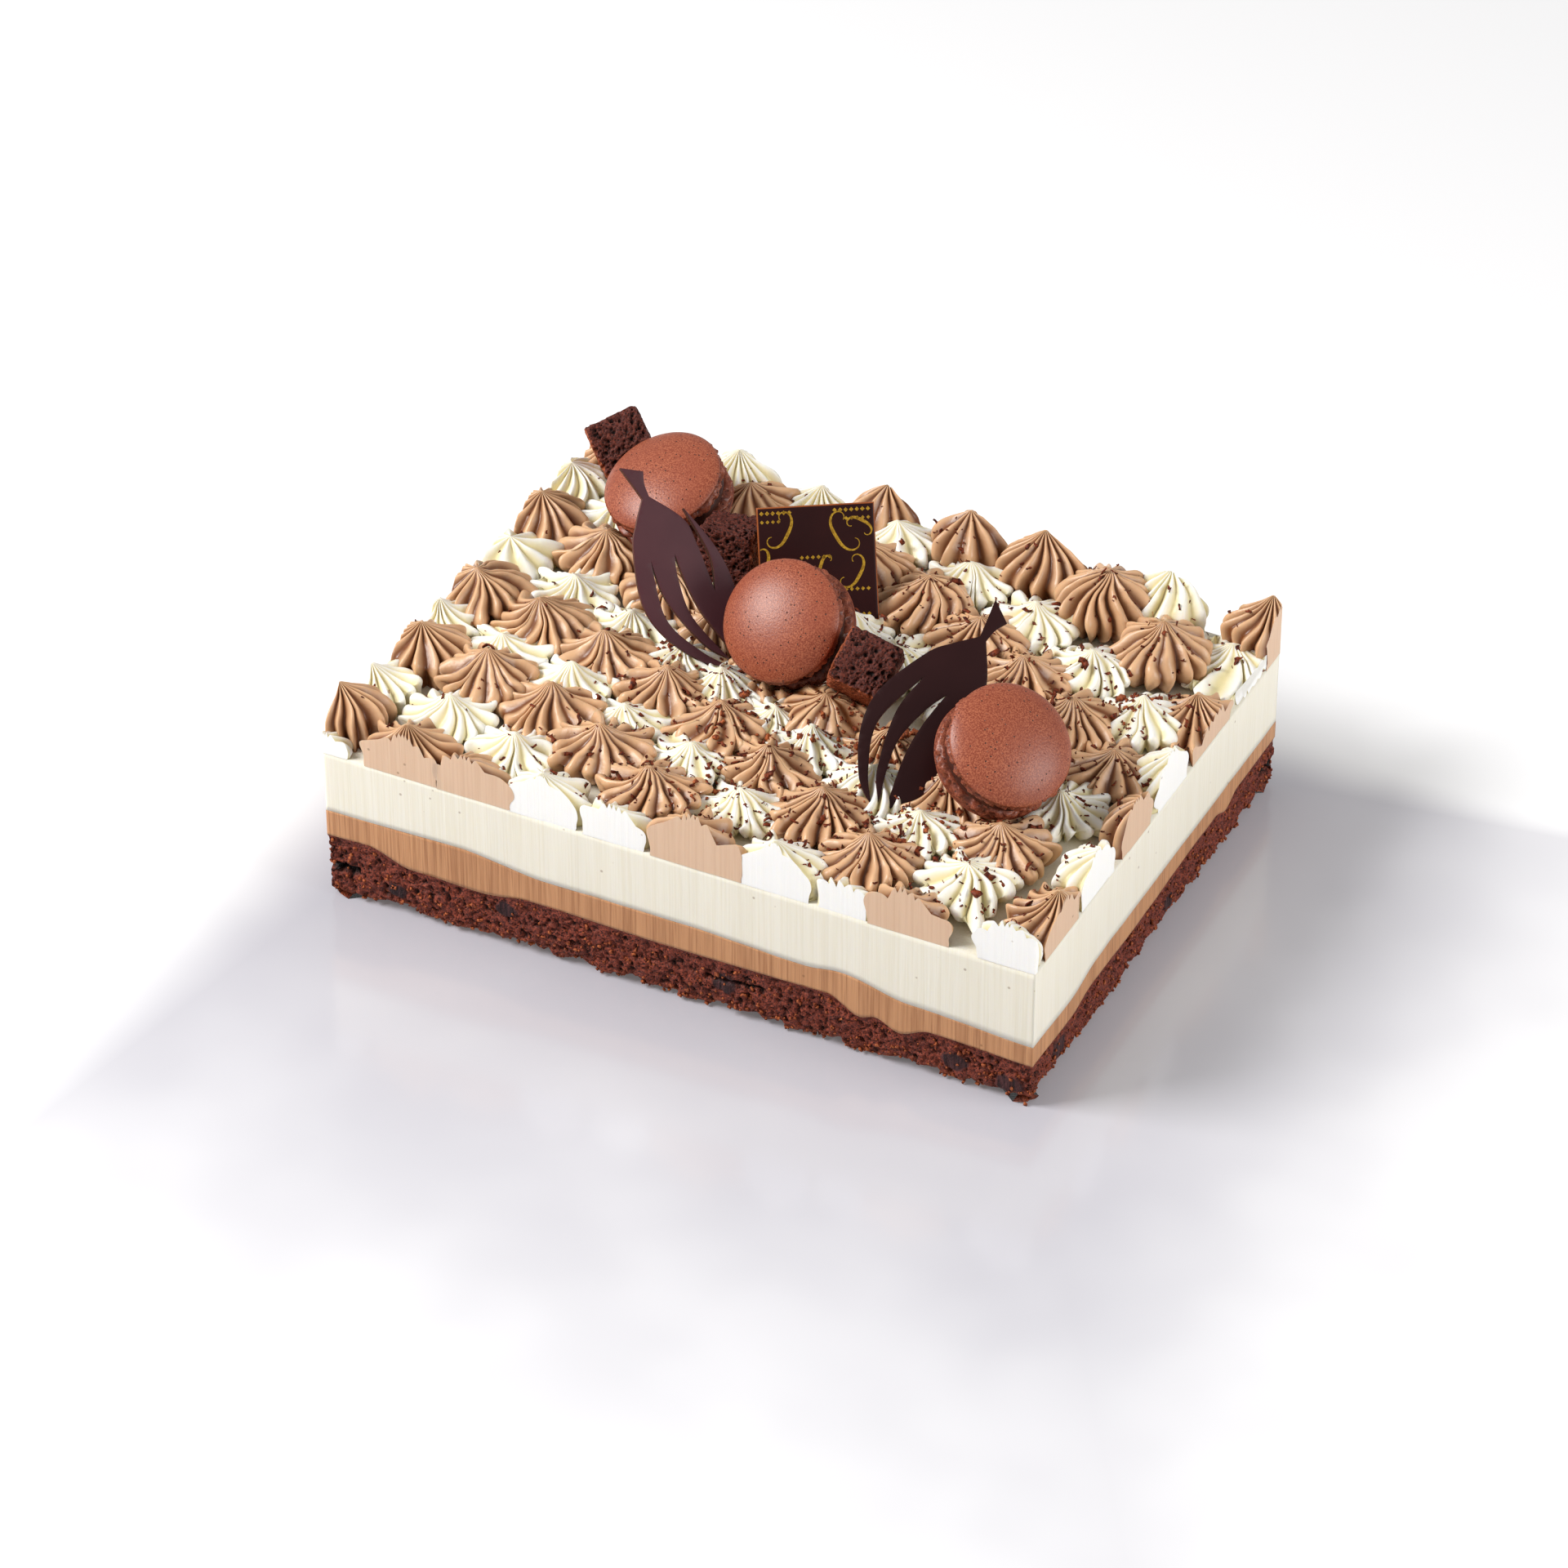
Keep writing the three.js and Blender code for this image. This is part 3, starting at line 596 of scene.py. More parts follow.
def brownie_crumb(name, dark, light):
    """Dark chocolate crumb: reddish grains over pores painted nearly black as shade, more painted
    shade in the mesh's pits and cracks, an orange baked crust, and smooth darker chips."""
    finish = Finish(name, Roughness=0.62, Specular_IOR_Level=0.28)
    grains = finish.between(finish.noise(1.5, 5.0, roughness=0.7), 0.36, 0.68)
    patches = finish.swells(0.2, 3.0, 0.35, 0.7)
    pores = finish.between(finish.cells(1.1), 0.1, 0.42)
    base = finish.blend(grains, dark, light)
    base = finish.blend(finish.times(patches, 0.4), base, tint(92, 42, 36))
    # Painted shade: the pores nearly black.
    base = finish.blend(pores, tint(34, 10, 8), base)
    # Painted shade in the pits and cracks of the mesh.
    hollow_shade = finish.between(finish.value("hollow_shade"), 0.0, 0.9)
    base = finish.blend(hollow_shade, base, tint(18, 5, 4))
    crust = finish.times(finish.value("crust"), finish.between(grains, 0.1, 0.8, 0.6))
    base = finish.blend(crust, base, tint(172, 88, 52))
    streaks = finish.between(finish.noise(1.1, 3.0, (1, 1, 0.08)), 0.4, 0.65)
    chip = finish.blend(streaks, tint(36, 14, 16), tint(78, 42, 42))
    finish.colour(finish.blend(finish.value("chip"), base, chip))
    finish.relief((finish.noise(1.1, 5.0), 0.5, 0.7), (pores, 0.4, 0.6))
    return finish.material


def macaron_shell(name):
    """Matt baked almond shell, finely speckled, with pin pores painted dark as shade, and painted
    shade in the pits, frill and seam of its foot.
    """
    finish = Finish(name, Roughness=0.4, Specular_IOR_Level=0.5)
    speckle = finish.swells(2.3, 3.0, 0.4, 0.62)
    blotch = finish.swells(0.1, 2.0, 0.35, 0.7)
    # Painted shade: the pin pores darker.
    pin = finish.between(finish.cells(0.5), 0.085, 0.16)
    base = finish.blend(speckle, tint(134, 60, 38), tint(177, 100, 70))
    base = finish.blend(finish.times(blotch, 0.4), base, tint(148, 74, 53))
    # Painted shade in the foot's pits, recessed frill and seam groove.
    foot = finish.value("hollow_shade")
    base = finish.blend(foot, base, tint(84, 34, 22))
    finish.colour(finish.blend(pin, tint(60, 24, 16), base))
    finish.relief((pin, 0.3, 0.7), (finish.noise(1.6, 4.0), 0.14, 0.55))
    return finish.material


def tempered_chocolate(name, face, bloom, roughness):
    """Satin tempered chocolate, faintly marbled with a lighter bloom. Its lighter copies are
    painted
    light: sheen on leaf 1, and highlight on the leaf and plaque edges.
    """
    finish = Finish(name, Roughness=roughness, Specular_IOR_Level=0.22)
    marble = finish.swells(0.08, 4.0, 0.3, 0.75)
    finish.colour(finish.blend(finish.times(marble, 0.35), face, bloom))
    finish.relief((finish.noise(0.22, 3.0), 0.12, 0.25), (finish.noise(2.5, 2.0), 0.02, 0.2))
    return finish.material


def shaved_chocolate(name, dark, light):
    """Dark shavings, lighter in patches of grain."""
    finish = Finish(name, Roughness=0.55, Specular_IOR_Level=0.2)
    grain = finish.swells(0.9, 3.0, 0.35, 0.7)
    finish.colour(finish.blend(grain, dark, light))
    finish.relief((finish.noise(1.6, 3.0), 0.08, 0.6))
    return finish.material


def gold_print(name):
    """Ornament printed in matt gold cocoa butter."""
    finish = Finish(name, Roughness=0.42, Metallic=0.35, Specular_IOR_Level=0.5)
    grain = finish.swells(1.4, 3.0, 0.3, 0.7)
    finish.colour(finish.blend(grain, tint(150, 108, 18), tint(205, 162, 46)))
    return finish.material


# Each cream's second colour is the painted shade of its clefts and foot.
MILK_CREAM = piped_cream("milk_cream", tint(224, 181, 140), tint(122, 70, 34), (1.3, 0.75, 0.4))
VANILLA_CREAM = piped_cream("vanilla_cream", tint(251, 249, 241), tint(232, 219, 168),
                            (2.6, 2.1, 1.2))
MILK_CUT = knife_cut("milk_cream_cut", tint(224, 191, 162), tint(206, 168, 137), 0.4,
                     (1.5, 0.9, 0.5))
VANILLA_CUT = knife_cut("vanilla_cream_cut", tint(255, 254, 250), tint(247, 244, 236), 0.25,
                        (2, 1.7, 1.2))
MILK_MOUSSE = knife_cut("milk_mousse", tint(204, 150, 106), tint(158, 106, 68), 0.8,
                        (1.4, 0.8, 0.4), 0.2)
VANILLA_MOUSSE = knife_cut("vanilla_mousse", tint(242, 237, 222), tint(229, 221, 197), 0.45,
                           (2.2, 1.8, 1.1))
BROWNIE = brownie_crumb("brownie", tint(76, 26, 18), tint(160, 74, 50))
BITE = brownie_crumb("brownie_bite", tint(54, 18, 13), tint(122, 56, 40))
SHELL = macaron_shell("macaron_shell")
FILLING, SHEENED_LEAF_FACE, DARK_LEAF_FACE, LEAF_EDGE_HIGHLIGHT, PLAQUE_FACE, PLAQUE_EDGE_HIGHLIGHT = (
    tempered_chocolate(name, tint(*face), tint(*bloom), roughness)
    for name, face, bloom, roughness in (
        ("macaron_filling", (62, 26, 18), (98, 46, 30), 0.5),
        # Leaf 1: its lighter purplish colour is painted sheen; leaf 2's darker one is the
        # chocolate's own.
        ("leaf_chocolate", (80, 46, 52), (92, 55, 60), 0.4),
        ("dark_leaf_chocolate", (40, 15, 16), (50, 22, 22), 0.38),
        # Leaf edge: a lighter orange-brown painted as highlight on the rim.
        ("leaf_edge_highlight", (70, 34, 28), (120, 66, 48), 0.5),
        ("plaque_chocolate", (40, 13, 13), (52, 18, 17), 0.34),
        # Plaque edge: gold-orange painted highlight.
        ("plaque_edge_highlight", (140, 70, 30), (190, 110, 50), 0.5)))
SHAVINGS = shaved_chocolate("shaved_chocolate", tint(66, 24, 14), tint(138, 62, 34))
CRUMBS = shaved_chocolate("baked_crumbs", tint(104, 42, 24), tint(186, 102, 58))
GOLD = gold_print("gold_print")


# ---------------------------------------------------------------- layers

def outline(step):
    """The cake's outline, counter-clockwise, as points with their outward directions. The
    number of steps on each side is its length over step."""
    a, b = HALF
    counts = [round(2 * b / step), round(2 * a / step)] * 2
    corners = np.array([(a, -b), (a, b), (-a, b), (-a, -b)])
    outward = np.array([(1, 0), (0, 1), (-1, 0), (0, -1)], float)
    points, ways = [], []
    for side, count in enumerate(counts):
        share = np.arange(count)[:, None] / count
        points.append(corners[side] * (1 - share) + corners[(side + 1) % 4] * share)
        ways.append(np.repeat(outward[side:side + 1], count, axis=0))
        ways[-1][0] += outward[side - 1]
    return np.concatenate(points), np.concatenate(ways)


MOUSSE_STEP = 1.0
MOUSSE_ROWS = 12
MOUSSE_INNER = 0.86


def layer(name, lower, upper, finish, grain, seed, stands_for):
    """A layer of mousse: the outline carried up from its lower to its upper border, with the
    sides pulled in by low noise, and its faces closed in towards the middle."""
    edge, ways = outline(MOUSSE_STEP)
    low, high = lower(*edge.T), upper(*edge.T)
    share = np.linspace(0, 1, MOUSSE_ROWS)[:, None]
    rings = at_level(np.repeat(edge[None], MOUSSE_ROWS, axis=0), low + (high - low) * share)
    pull = grain * noisy(0.5, rings * (1, 1, 0.25), (0.5, 9.0, seed))
    rings[..., :2] -= pull[..., None] * ways
    inner = edge * MOUSSE_INNER
    foot, head = (at_level(inner, border(*inner.T))[None] for border in (lower, upper))
    body = closed_turn(np.concatenate([foot, rings, head]), (0, 0, lower(0.0, 0.0)),
                       (0, 0, upper(0.0, 0.0)))
    make_piece(name, body, [finish], [stands_for])


# The brownie's side: rows, step along the outline, and its noises as depth, size and seed;
# its two kinds of pits as size, seed, reach and depth; and its cracks as depth, height, rise
# over x, half thickness, and the stretch of x and of y that each is in
BASE_ROWS = 56
BASE_STEP = 0.51
BASE_FOOT = [(1.9, 5.0, 11), (0.8, 2.1, 12)]
BASE_CRAGS = [(0.55, 4.2, 21), (0.32, 1.7, 22)]
BASE_PITS = [(2.3, 31, 0.45, 4.8), (1.3, 41, 0.47, 3.0)]
BASE_CRACKS = [
    (2.6, 12.6, 0.05, 0.7, (10, 30), (-99, -91.5)),
    (3.4, 11.5, 0, 1.3, (-199, -109), (-99, -91.5)),
    (3.4, 11.5, 0, 1.3, (-199, -119), (-99, -84)),
    (3.0, 9.0, 0, 1.2, (119, 199), (82, 99)),
]


def brownie_base():
    """The brownie: the outline carried up in rows, pulled in by crags, slanting bubbles and a
    ragged foot, with cracks along the sides and cut chips of chocolate that lie smooth."""
    edge, ways = outline(BASE_STEP)
    share = np.linspace(0, 1, BASE_ROWS)[:, None]
    foot = np.clip(noisy(1.3, at_level(edge, 0.0), *BASE_FOOT), 0.1, 3.4)
    top = base_top(*edge.T)
    height = foot + (top - foot) * share
    rings = at_level(np.repeat(edge[None], BASE_ROWS, axis=0), height)
    slanting = rings * (1, 1, 0.7) + rings[..., 2:] * np.array(SLANT)
    crags = np.clip(noisy(0.6, rings, *BASE_CRAGS), 0.05, 3)
    large, small = (pits(slanting, *kind) for kind in BASE_PITS)
    calm = np.clip((1 - share) * BASE_ROWS / 5, 0, 1)
    rough = 0.35 + 0.65 * np.clip((top - height) / 4.5, 0, 1)
    round_foot = 2.4 * np.clip(1 - (height - foot) / 3.0, 0, 1) ** 2
    crack, chip = crack_depth(rings), chip_cover(rings)
    pull = crags * (0.3 + 0.7 * calm) + (large + small) * calm * rough
    pull = pull * (1 - chip) + chip * noisy(0.5, rings * (1, 1, 0.12), (0.35, 1.1, 23))
    pull = np.clip(pull + round_foot + crack, 0.02, 6)
    rings[..., :2] -= pull[..., None] * ways
    rings[..., 2] += 0.5 * lumps(rings, 1.9, 51) * calm * np.clip(share * BASE_ROWS / 2, 0, 1)
    rings[..., 2] = np.maximum(rings[..., 2], 0.0)
    under, over = at_level(edge - 6.5 * ways, 0.0), at_level(edge * 0.9, base_top(*edge.T * 0.9))
    body = closed_turn(np.concatenate([under[None], rings, over[None]]), (0, 0, 0),
                       (0, 0, base_top(0.0, 0.0)))
    # Painted shade mask: high in the deeper pits and along the cracks.
    hollow_shade = np.clip((large + small * 0.7) * calm * rough * (1 - chip) / 1.9 + crack / 2.6, 0, 1)
    baked = np.clip(1 - (height - foot) / 3.4, 0, 1) * noisy(0.5, rings, (0.7, 2.4, 61))
    ends = np.zeros((1, len(edge)))
    values = {title: np.append(np.concatenate([ends, numbers, ends]), (0, 0)) for title, numbers
              in (("hollow_shade", hollow_shade), ("crust", np.clip(baked, 0, 1)), ("chip", chip))}
    return make_piece("brownie_crumb_base", body, [BROWNIE], ["brownie_base"], values)


def chip_cover(points):
    """Share of chocolate chip at points of the sides: an ellipse round each chip's place, its
    rim softened and made uneven by noise."""
    cover = np.zeros(points.shape[:-1])
    for (x, y, z), (wide, high) in CHOCOLATE_CHIPS:
        level = points[..., 2] - z
        aside = np.hypot(points[..., 0] - x, points[..., 1] - y)
        far = np.sqrt((aside / wide) ** 2 + (level / high) ** 2) + 0.18 * lumps(points, 2.0, 77)
        cover = np.maximum(cover, np.clip((1 - far) / 0.22, 0, 1))
    return cover


def crack_depth(points):
    """Depth of the cracks in the brownie's sides: each is a dip round a slanting line."""
    x, y, z = np.moveaxis(points, -1, 0)
    depth = np.zeros(x.shape)
    for deep, height, slope, thin, (left, right), (near, far) in BASE_CRACKS:
        line = height + slope * (x - (left + right) / 2)
        here = (x > left) & (x < right) & (y > near) & (y < far)
        depth = np.maximum(depth, deep * np.exp(-((z - line) / thin) ** 2) * here)
    return depth


# ---------------------------------------------------------------- piped rosettes

def run_sites(line, count):
    """Places of a run's rosettes: evenly along the quadratic curve through its three points."""
    start, bow, end = np.array(line, float)
    share = (np.arange(count) / max(count - 1, 1))[:, None]
    return (1 - share) ** 2 * start + 2 * share * (1 - share) * bow + share ** 2 * end


def all_sites():
    """Every rosette's place, run, cream, shape, and tip as the solid or its shape has it."""
    sites, counts = [], {}
    for run, (cream, line, count) in enumerate(PIPED_RUNS):
        counts[cream] = counts.get(cream, 0) + 1
        names = nodes_of(f"{cream}_rosettes_{counts[cream]}")
        corners = node_points(names) if names else np.zeros((0, 3))
        for number, place in enumerate(run_sites(line, count)):
            shape = SHAPES.get((run, number), {})
            near = corners[np.hypot(*(corners[:, :2] - place).T) < TIP_RANGE]
            tip = np.array([*place, mousse_top(place[0]) + CREAMS[cream]["height"]])
            if len(near) and near[:, 2].max() > mousse_top(place[0]) + TIP_LEAST:
                tip = near[near[:, 2].argmax()]
            place = np.array(shape.get("at", place), float)
            if "height" in shape:
                tip = np.array([*place, mousse_top(place[0]) + shape["height"]])
            sites.append({"run": run, "order": len(sites), "cream": cream, "names": names,
                          "place": place, "tip": tip, "shape": shape})
    return sites


def at_side(site):
    """Whether the knife went through a rosette."""
    return bool((np.abs(site["place"]) > HALF - CUT_REACH).any())


def room_of(site, sites, turn):
    """How far a rosette may reach in each direction: to the lines that share the room with
    its neighbours, and a little over them, blended softly."""
    cream = CREAMS[site["cream"]]
    reach = np.full(len(turn), site["shape"].get("reach", cream["reach"]))
    if "pull" in site["shape"]:
        way, more = site["shape"]["pull"]
        reach = reach * (1 + more * np.clip(np.cos(turn - math.radians(way)), 0, 1) ** 4)
    limits = [reach]
    for other in sites:
        gap = other["place"] - site["place"]
        distance = np.hypot(*gap)
        if other is site or distance > NEIGHBOUR_RANGE:
            continue
        facing = np.cos(turn - math.atan2(gap[1], gap[0]))
        share = cream["share"] / (cream["share"] + CREAMS[other["cream"]]["share"])
        over = CUT_OVERLAP if at_side(site) and at_side(other) else NEIGHBOUR_OVERLAP
        line = (distance * share + over) / np.clip(facing, 0.05, 1)
        limits.append(np.where(facing > 0.05, line, np.inf))
    return -ROOM_BLEND * np.log(np.exp(-np.array(limits) / ROOM_BLEND).sum(axis=0))


def profile_rows(full, reach, height, foot):
    """Radius share, height share and outward direction of each row of a rosette: the blend of
    star and dome, no narrower at its foot than the given share, stepped evenly along its
    length, with its corners smoothed."""
    profile = np.array(STAR_PROFILE) * (1 - full) + np.array(DOME_PROFILE) * full
    profile[:4, 0] = np.maximum(profile[:4, 0], foot)
    rows = evenly(profile, (reach, height), ROSETTE_ROWS)
    for _ in range(2):
        rows[1:-1] = (rows[:-2] + 2 * rows[1:-1] + rows[2:]) / 4
    way = np.gradient(rows * (reach, height), axis=0)
    way /= np.linalg.norm(way, axis=1, keepdims=True)
    return rows[:, :1], rows[:, 1:], way[:, 1:], -way[:, :1]


def rosette(site, sites, rng):
    """One piped rosette. Rings follow a profile from the foot to the tip; their radius is the
    room in each direction times the profile. Rounded ribs with sharp clefts, the absolute sine
    of half the rib count times the turn to a power, sink the surface along its own outward
    direction by up to the width of half a rib. Each rib has its own length, the rings twist as
    they narrow, and the tip leans to its own place."""
    cream, shape, is_cut = CREAMS[site["cream"]], site["shape"], at_side(site)
    more, full, swirl = rng.integers(-1, 2), rng.uniform(0.1, 0.8), rng.uniform(-0.3, 0.45)
    warps, starts, start = rng.uniform(-1, 1, 3), rng.uniform(0, 6.3, 3), rng.uniform(0, 6.3)
    ribs = shape.get("ribs", cream["ribs"] + int(more))
    lengths, drops, bends, sinks = np.clip(rng.standard_normal((4, 24))[:, :ribs], -1.6, 1.6)
    full, swirl = shape.get("full", full), shape.get("swirl", swirl)
    loose = CUT_CALM if is_cut else 1.0

    turn = full_turn(ribs * RIB_SAMPLES)
    owner = ribs * turn / (2 * np.pi) - 0.5
    warp = (warps[:, None] * np.sin(np.arange(1, 4)[:, None] * turn + starts[:, None])).sum(axis=0)
    angle = turn + RIB_WARP * warp / ribs + start
    place, tip = site["place"], site["tip"]
    floor = mousse_top(place[0])
    height = tip[2] - floor
    room = room_of(site, sites, angle)
    radius, level, out_share, up_share = profile_rows(full, room.mean(), height,
                                                      CUT_FOOT if is_cut else 0)
    within = np.clip(radius, 0, 1)
    round_rib = np.abs(np.sin(ribs * turn / 2)) ** (1.25 - 0.55 * within ** 2)
    crested = 1 - np.abs(2 * ((ribs * turn / (2 * np.pi)) % 1) - 1)
    crest = CUT_CREST if is_cut else CREST
    rib = round_rib * (1 - crest) + crested * crest
    bend = RIB_BEND * loose * periodic(bends, owner)
    heading = angle[None] + swirl * (1 - within) + bend * np.sin(np.pi * within)
    length = 1 + RIB_LENGTH * periodic(lengths, owner)
    spread_out = radius * room * (1 + (length - 1) * radius ** 2)
    deeper = 1 + RIB_SINK * periodic(sinks, owner + 0.5)
    depth = cream["cleft"] * shape.get("cleft", 1.0) * deeper * np.pi * spread_out / ribs
    if is_cut:
        depth = np.maximum(depth, CUT_CLEFT * np.clip(within / 0.3, 0, 1))
    soft_tip = 0 if is_cut else 0.85 * np.exp(-(within / 0.24) ** 2)
    sunk = np.minimum(depth, CLEFT_MOST) * (1 - rib) * (1 - soft_tip)
    drop = RIB_DROP * periodic(drops, owner) * within ** 3 * (level > 0.04)
    rings = about_axis(spread_out - sunk * out_share, heading,
                       floor + height * level - sunk * up_share + drop)
    lean = (tip[:2] - place) * np.clip(level, 0, 1)[..., None] ** 2
    rings[..., :2] = place + rings[..., :2] + lean
    sway = np.stack([noisy(0, rings, *layers) for layers in SWAYS], axis=-1)
    rings += RIB_SWAY * loose * sway * (level > 0.03)[..., None]
    swell = noisy(0, rings, *SWELLS) * np.clip(radius * 1.5, 0, 1)
    rings += about_axis(out_share, heading, up_share) * swell[..., None]
    rings[..., 2] = np.maximum(rings[..., 2], mousse_top(rings[..., 0]) - SINK_IN)
    rings = make_room(rings)
    # Painted shade mask: the cleft value is high down in the clefts between the ribs and in the
    # lowest fifth of the rosette, where it meets the mousse.
    cleft = np.clip(1 - rib, 0, 1) ** 0.8
    cleft = np.clip(cleft + np.clip(0.2 - level, 0, 1) * 2.4, 0, 1)
    body = closed_turn(rings, (*place, floor - 0.3), rings[-1].mean(axis=0) + (0, 0, 0.15))
    return body, np.append(cleft, (0.5, 0.2))


def periodic(values, owner):
    """Values of the ribs, blended smoothly from one rib's middle to the next."""
    lower = np.floor(owner).astype(int)
    share = smooth(owner - lower)
    count = len(values)
    return values[lower % count] * (1 - share) + values[(lower + 1) % count] * share


def make_room(points):
    """Cream pushed out of the macarons and cubes that sit in it. A point inside a macaron goes
    to its lower face along the macaron's axis; a point inside a cube goes straight down."""
    for spot in MACARONS:
        own = in_axes_of(points, spot)
        share = np.hypot(own[..., 0], own[..., 1]) / (MACARON_RADIUS + 0.2)
        half = np.interp(share, *MACARON_RISE) + MACARON_HALF_FILLING + 0.1
        inside = (share < 1) & (np.abs(own[..., 2]) < half)
        own[..., 2] = np.where(inside, np.where(own[..., 2] > 0, half, -half), own[..., 2])
        pushed = placed(own, spot)
        points = np.where((inside & (pushed[..., 2] < points[..., 2]))[..., None], pushed, points)
    for spot in CUBES:
        inside = (np.abs(in_axes_of(points, spot)) < CUBE_SIZE / 2 - 0.5).all(axis=-1)
        points = points - at_level(np.zeros((*inside.shape, 2)), 4.0 * inside)
    points[..., 2] = np.maximum(points[..., 2], mousse_top(points[..., 0]) - SINK_IN)
    return points


def trim(piece):
    """Cuts a run flat at the cake's four sides and closes each cut with a face that has the
    piece's second material. Each rosette is cut by itself, a hair further in or out than its
    neighbours, so that no two cut faces share a plane."""
    mesh = piece.data
    solid = bmesh.new()
    solid.from_mesh(mesh)
    layer = solid.verts.layers.float["rosette"]
    rosettes = {}
    for corner in solid.verts:
        rosettes.setdefault(round(corner[layer]), []).append(corner)
    for number, corners in rosettes.items():
        for axis, side in ((0, -1), (0, 1), (1, -1), (1, 1)):
            limit = (HALF[axis] - CUT_STEP * (number % CUT_STEPS)) * MM
            if max(side * corner.co[axis] for corner in corners) <= limit:
                continue
            spot, normal = Vector((0, 0, 0)), Vector((0, 0, 0))
            spot[axis], normal[axis] = side * limit, side
            edges = dict.fromkeys(edge for corner in corners for edge in corner.link_edges)
            faces = dict.fromkeys(face for corner in corners for face in corner.link_faces)
            cut = bmesh.ops.bisect_plane(solid, geom=[*corners, *edges, *faces], dist=1e-7,
                                         plane_co=spot, plane_no=normal,
                                         clear_outer=True)["geom_cut"]
            rim = [part for part in cut if isinstance(part, bmesh.types.BMEdge)
                   and part.is_boundary]
            for face in bmesh.ops.edgeloop_fill(solid, edges=rim)["faces"]:
                face.material_index = 1
                face.smooth = False
                face.normal_update()
                if face.normal.dot(normal) < 0:
                    face.normal_flip()
            added = [part for part in cut if isinstance(part, bmesh.types.BMVert)]
            corners = list(dict.fromkeys(corner for corner in corners + added if corner.is_valid))
    solid.to_mesh(mesh)
    solid.free()


def pipe_cream():
    """All runs of rosettes, one piece each."""
    rng = np.random.default_rng(SEED)
    sites = all_sites()
    pieces = []
    finishes = {"milk": [MILK_CREAM, MILK_CUT], "vanilla": [VANILLA_CREAM, VANILLA_CUT]}
    counts = {}
    for run, (cream, _, _) in enumerate(PIPED_RUNS):
        counts[cream] = counts.get(cream, 0) + 1
        own = [site for site in sites if site["run"] == run]
        made = [rosette(site, sites, rng) for site in own]
        body = joined([body for body, _ in made])
        # The cleft value carries each point's painted shade.
        values = {"cleft": np.concatenate([cleft for _, cleft in made]),
                  "rosette": np.concatenate([np.full(len(cleft), site["order"])
                                             for site, (_, cleft) in zip(own, made)])}
        piece = make_piece(f"piped_{cream}_cream_{counts[cream]}", body, finishes[cream],
                           own[0]["names"], values)
        trim(piece)
        pieces.append(piece)
    return pieces


# ---------------------------------------------------------------- macarons and cubes

SHELL_GRID = (58, 150)
FILLING_GRID = (9, 120)
SHELL_FOOT = 3.7
SHELL_HEIGHT = 10.4
DOME_RIM, DOME_FOOT, DOME_ROUND = 0.98, 3.4, 0.62
FOOT_PROFILE = [(0.975, 3.4), (0.975, 2.9), (0.985, 2.4), (0.995, 1.6), (0.985, 0.9),
                (0.955, 0.35), (0.9, 0.05)]


def shell_profile():
    """Share of the radius and height from the crown down: the dome's height over its foot falls
    as (1 - t squared) to the power DOME_ROUND, t being the share of the rim, then the foot."""
    across = np.sin(np.linspace(0, 1.4, 90))
    height = DOME_FOOT + (SHELL_HEIGHT - DOME_FOOT) * (1 - across ** 2) ** DOME_ROUND
    return np.concatenate([np.stack([DOME_RIM * across, height], axis=1), FOOT_PROFILE])


def shell(spot, side, seed):
    """A macaron shell: a profile turned about the facing axis, a smooth low dome above a foot
    that noise and bubbles make frilly. side is 1 for the upper shell and -1 for the lower."""
    rows, columns = SHELL_GRID
    turn = full_turn(columns)
    profile = evenly(shell_profile()[::-1], (MACARON_RADIUS, 1), rows + 1)[:-1]
    radius, height = profile[:, :1] * MACARON_RADIUS, profile[:, 1:]
    plain = about_axis(radius, turn, height)
    foot = np.clip((SHELL_FOOT - height) / 0.5, 0, 1)
    frill = noisy(0, plain, (0.8, 2.6, seed), (0.5, 1.1, seed + 1))
    holes = pits(plain, 1.5, seed + 2, 0.56)
    radius = radius + foot * np.clip(frill - 0.55 - 4.2 * holes, -2.8, 0.2)
    radius = radius + (1 - foot) * 0.12 * lumps(plain, 8.0, seed + 3)
    seam_height = noisy(SHELL_FOOT + 0.05, plain, (0.25, 5.0, seed + 4))
    seam = -0.75 * np.exp(-((height - seam_height) / 0.26) ** 2)
    radius = np.minimum(radius + seam, MACARON_RADIUS)
    rings = about_axis(radius, turn * side, side * (height + MACARON_HALF_FILLING))
    ends = [(0, 0, side * (level + MACARON_HALF_FILLING)) for level in (0, SHELL_HEIGHT)]
    points, quads, triangles = closed_turn(rings, *ends)
    # Painted shade mask: high in the foot's pits, where its frill is pulled in, and in the seam
    # groove.
    hollow_shade = np.clip(holes * 3.0 * foot + (0.5 - frill) * 0.3 * foot - 1.3 * seam, 0, 1)
    return (placed(points, spot), quads, triangles), np.append(hollow_shade, (0, 0))


def filling(spot, seed):
    """The filling between two shells: a disc whose rim bulges by low noise."""
    rows, columns = FILLING_GRID
    share = np.linspace(-1, 1, rows)[:, None]
    height = share * (FILLING_THICKNESS / 2 + 0.2)
    rings = about_axis(FILLING_RADIUS - 1.1 * share ** 2, full_turn(columns), height)
    rings[..., :2] *= (1 - 0.012 * (1 + lumps(rings, 3.0, seed)))[..., None]
    points, quads, triangles = closed_turn(rings, (0, 0, height[0, 0]), (0, 0, height[-1, 0]))
    return placed(points, spot), quads, triangles


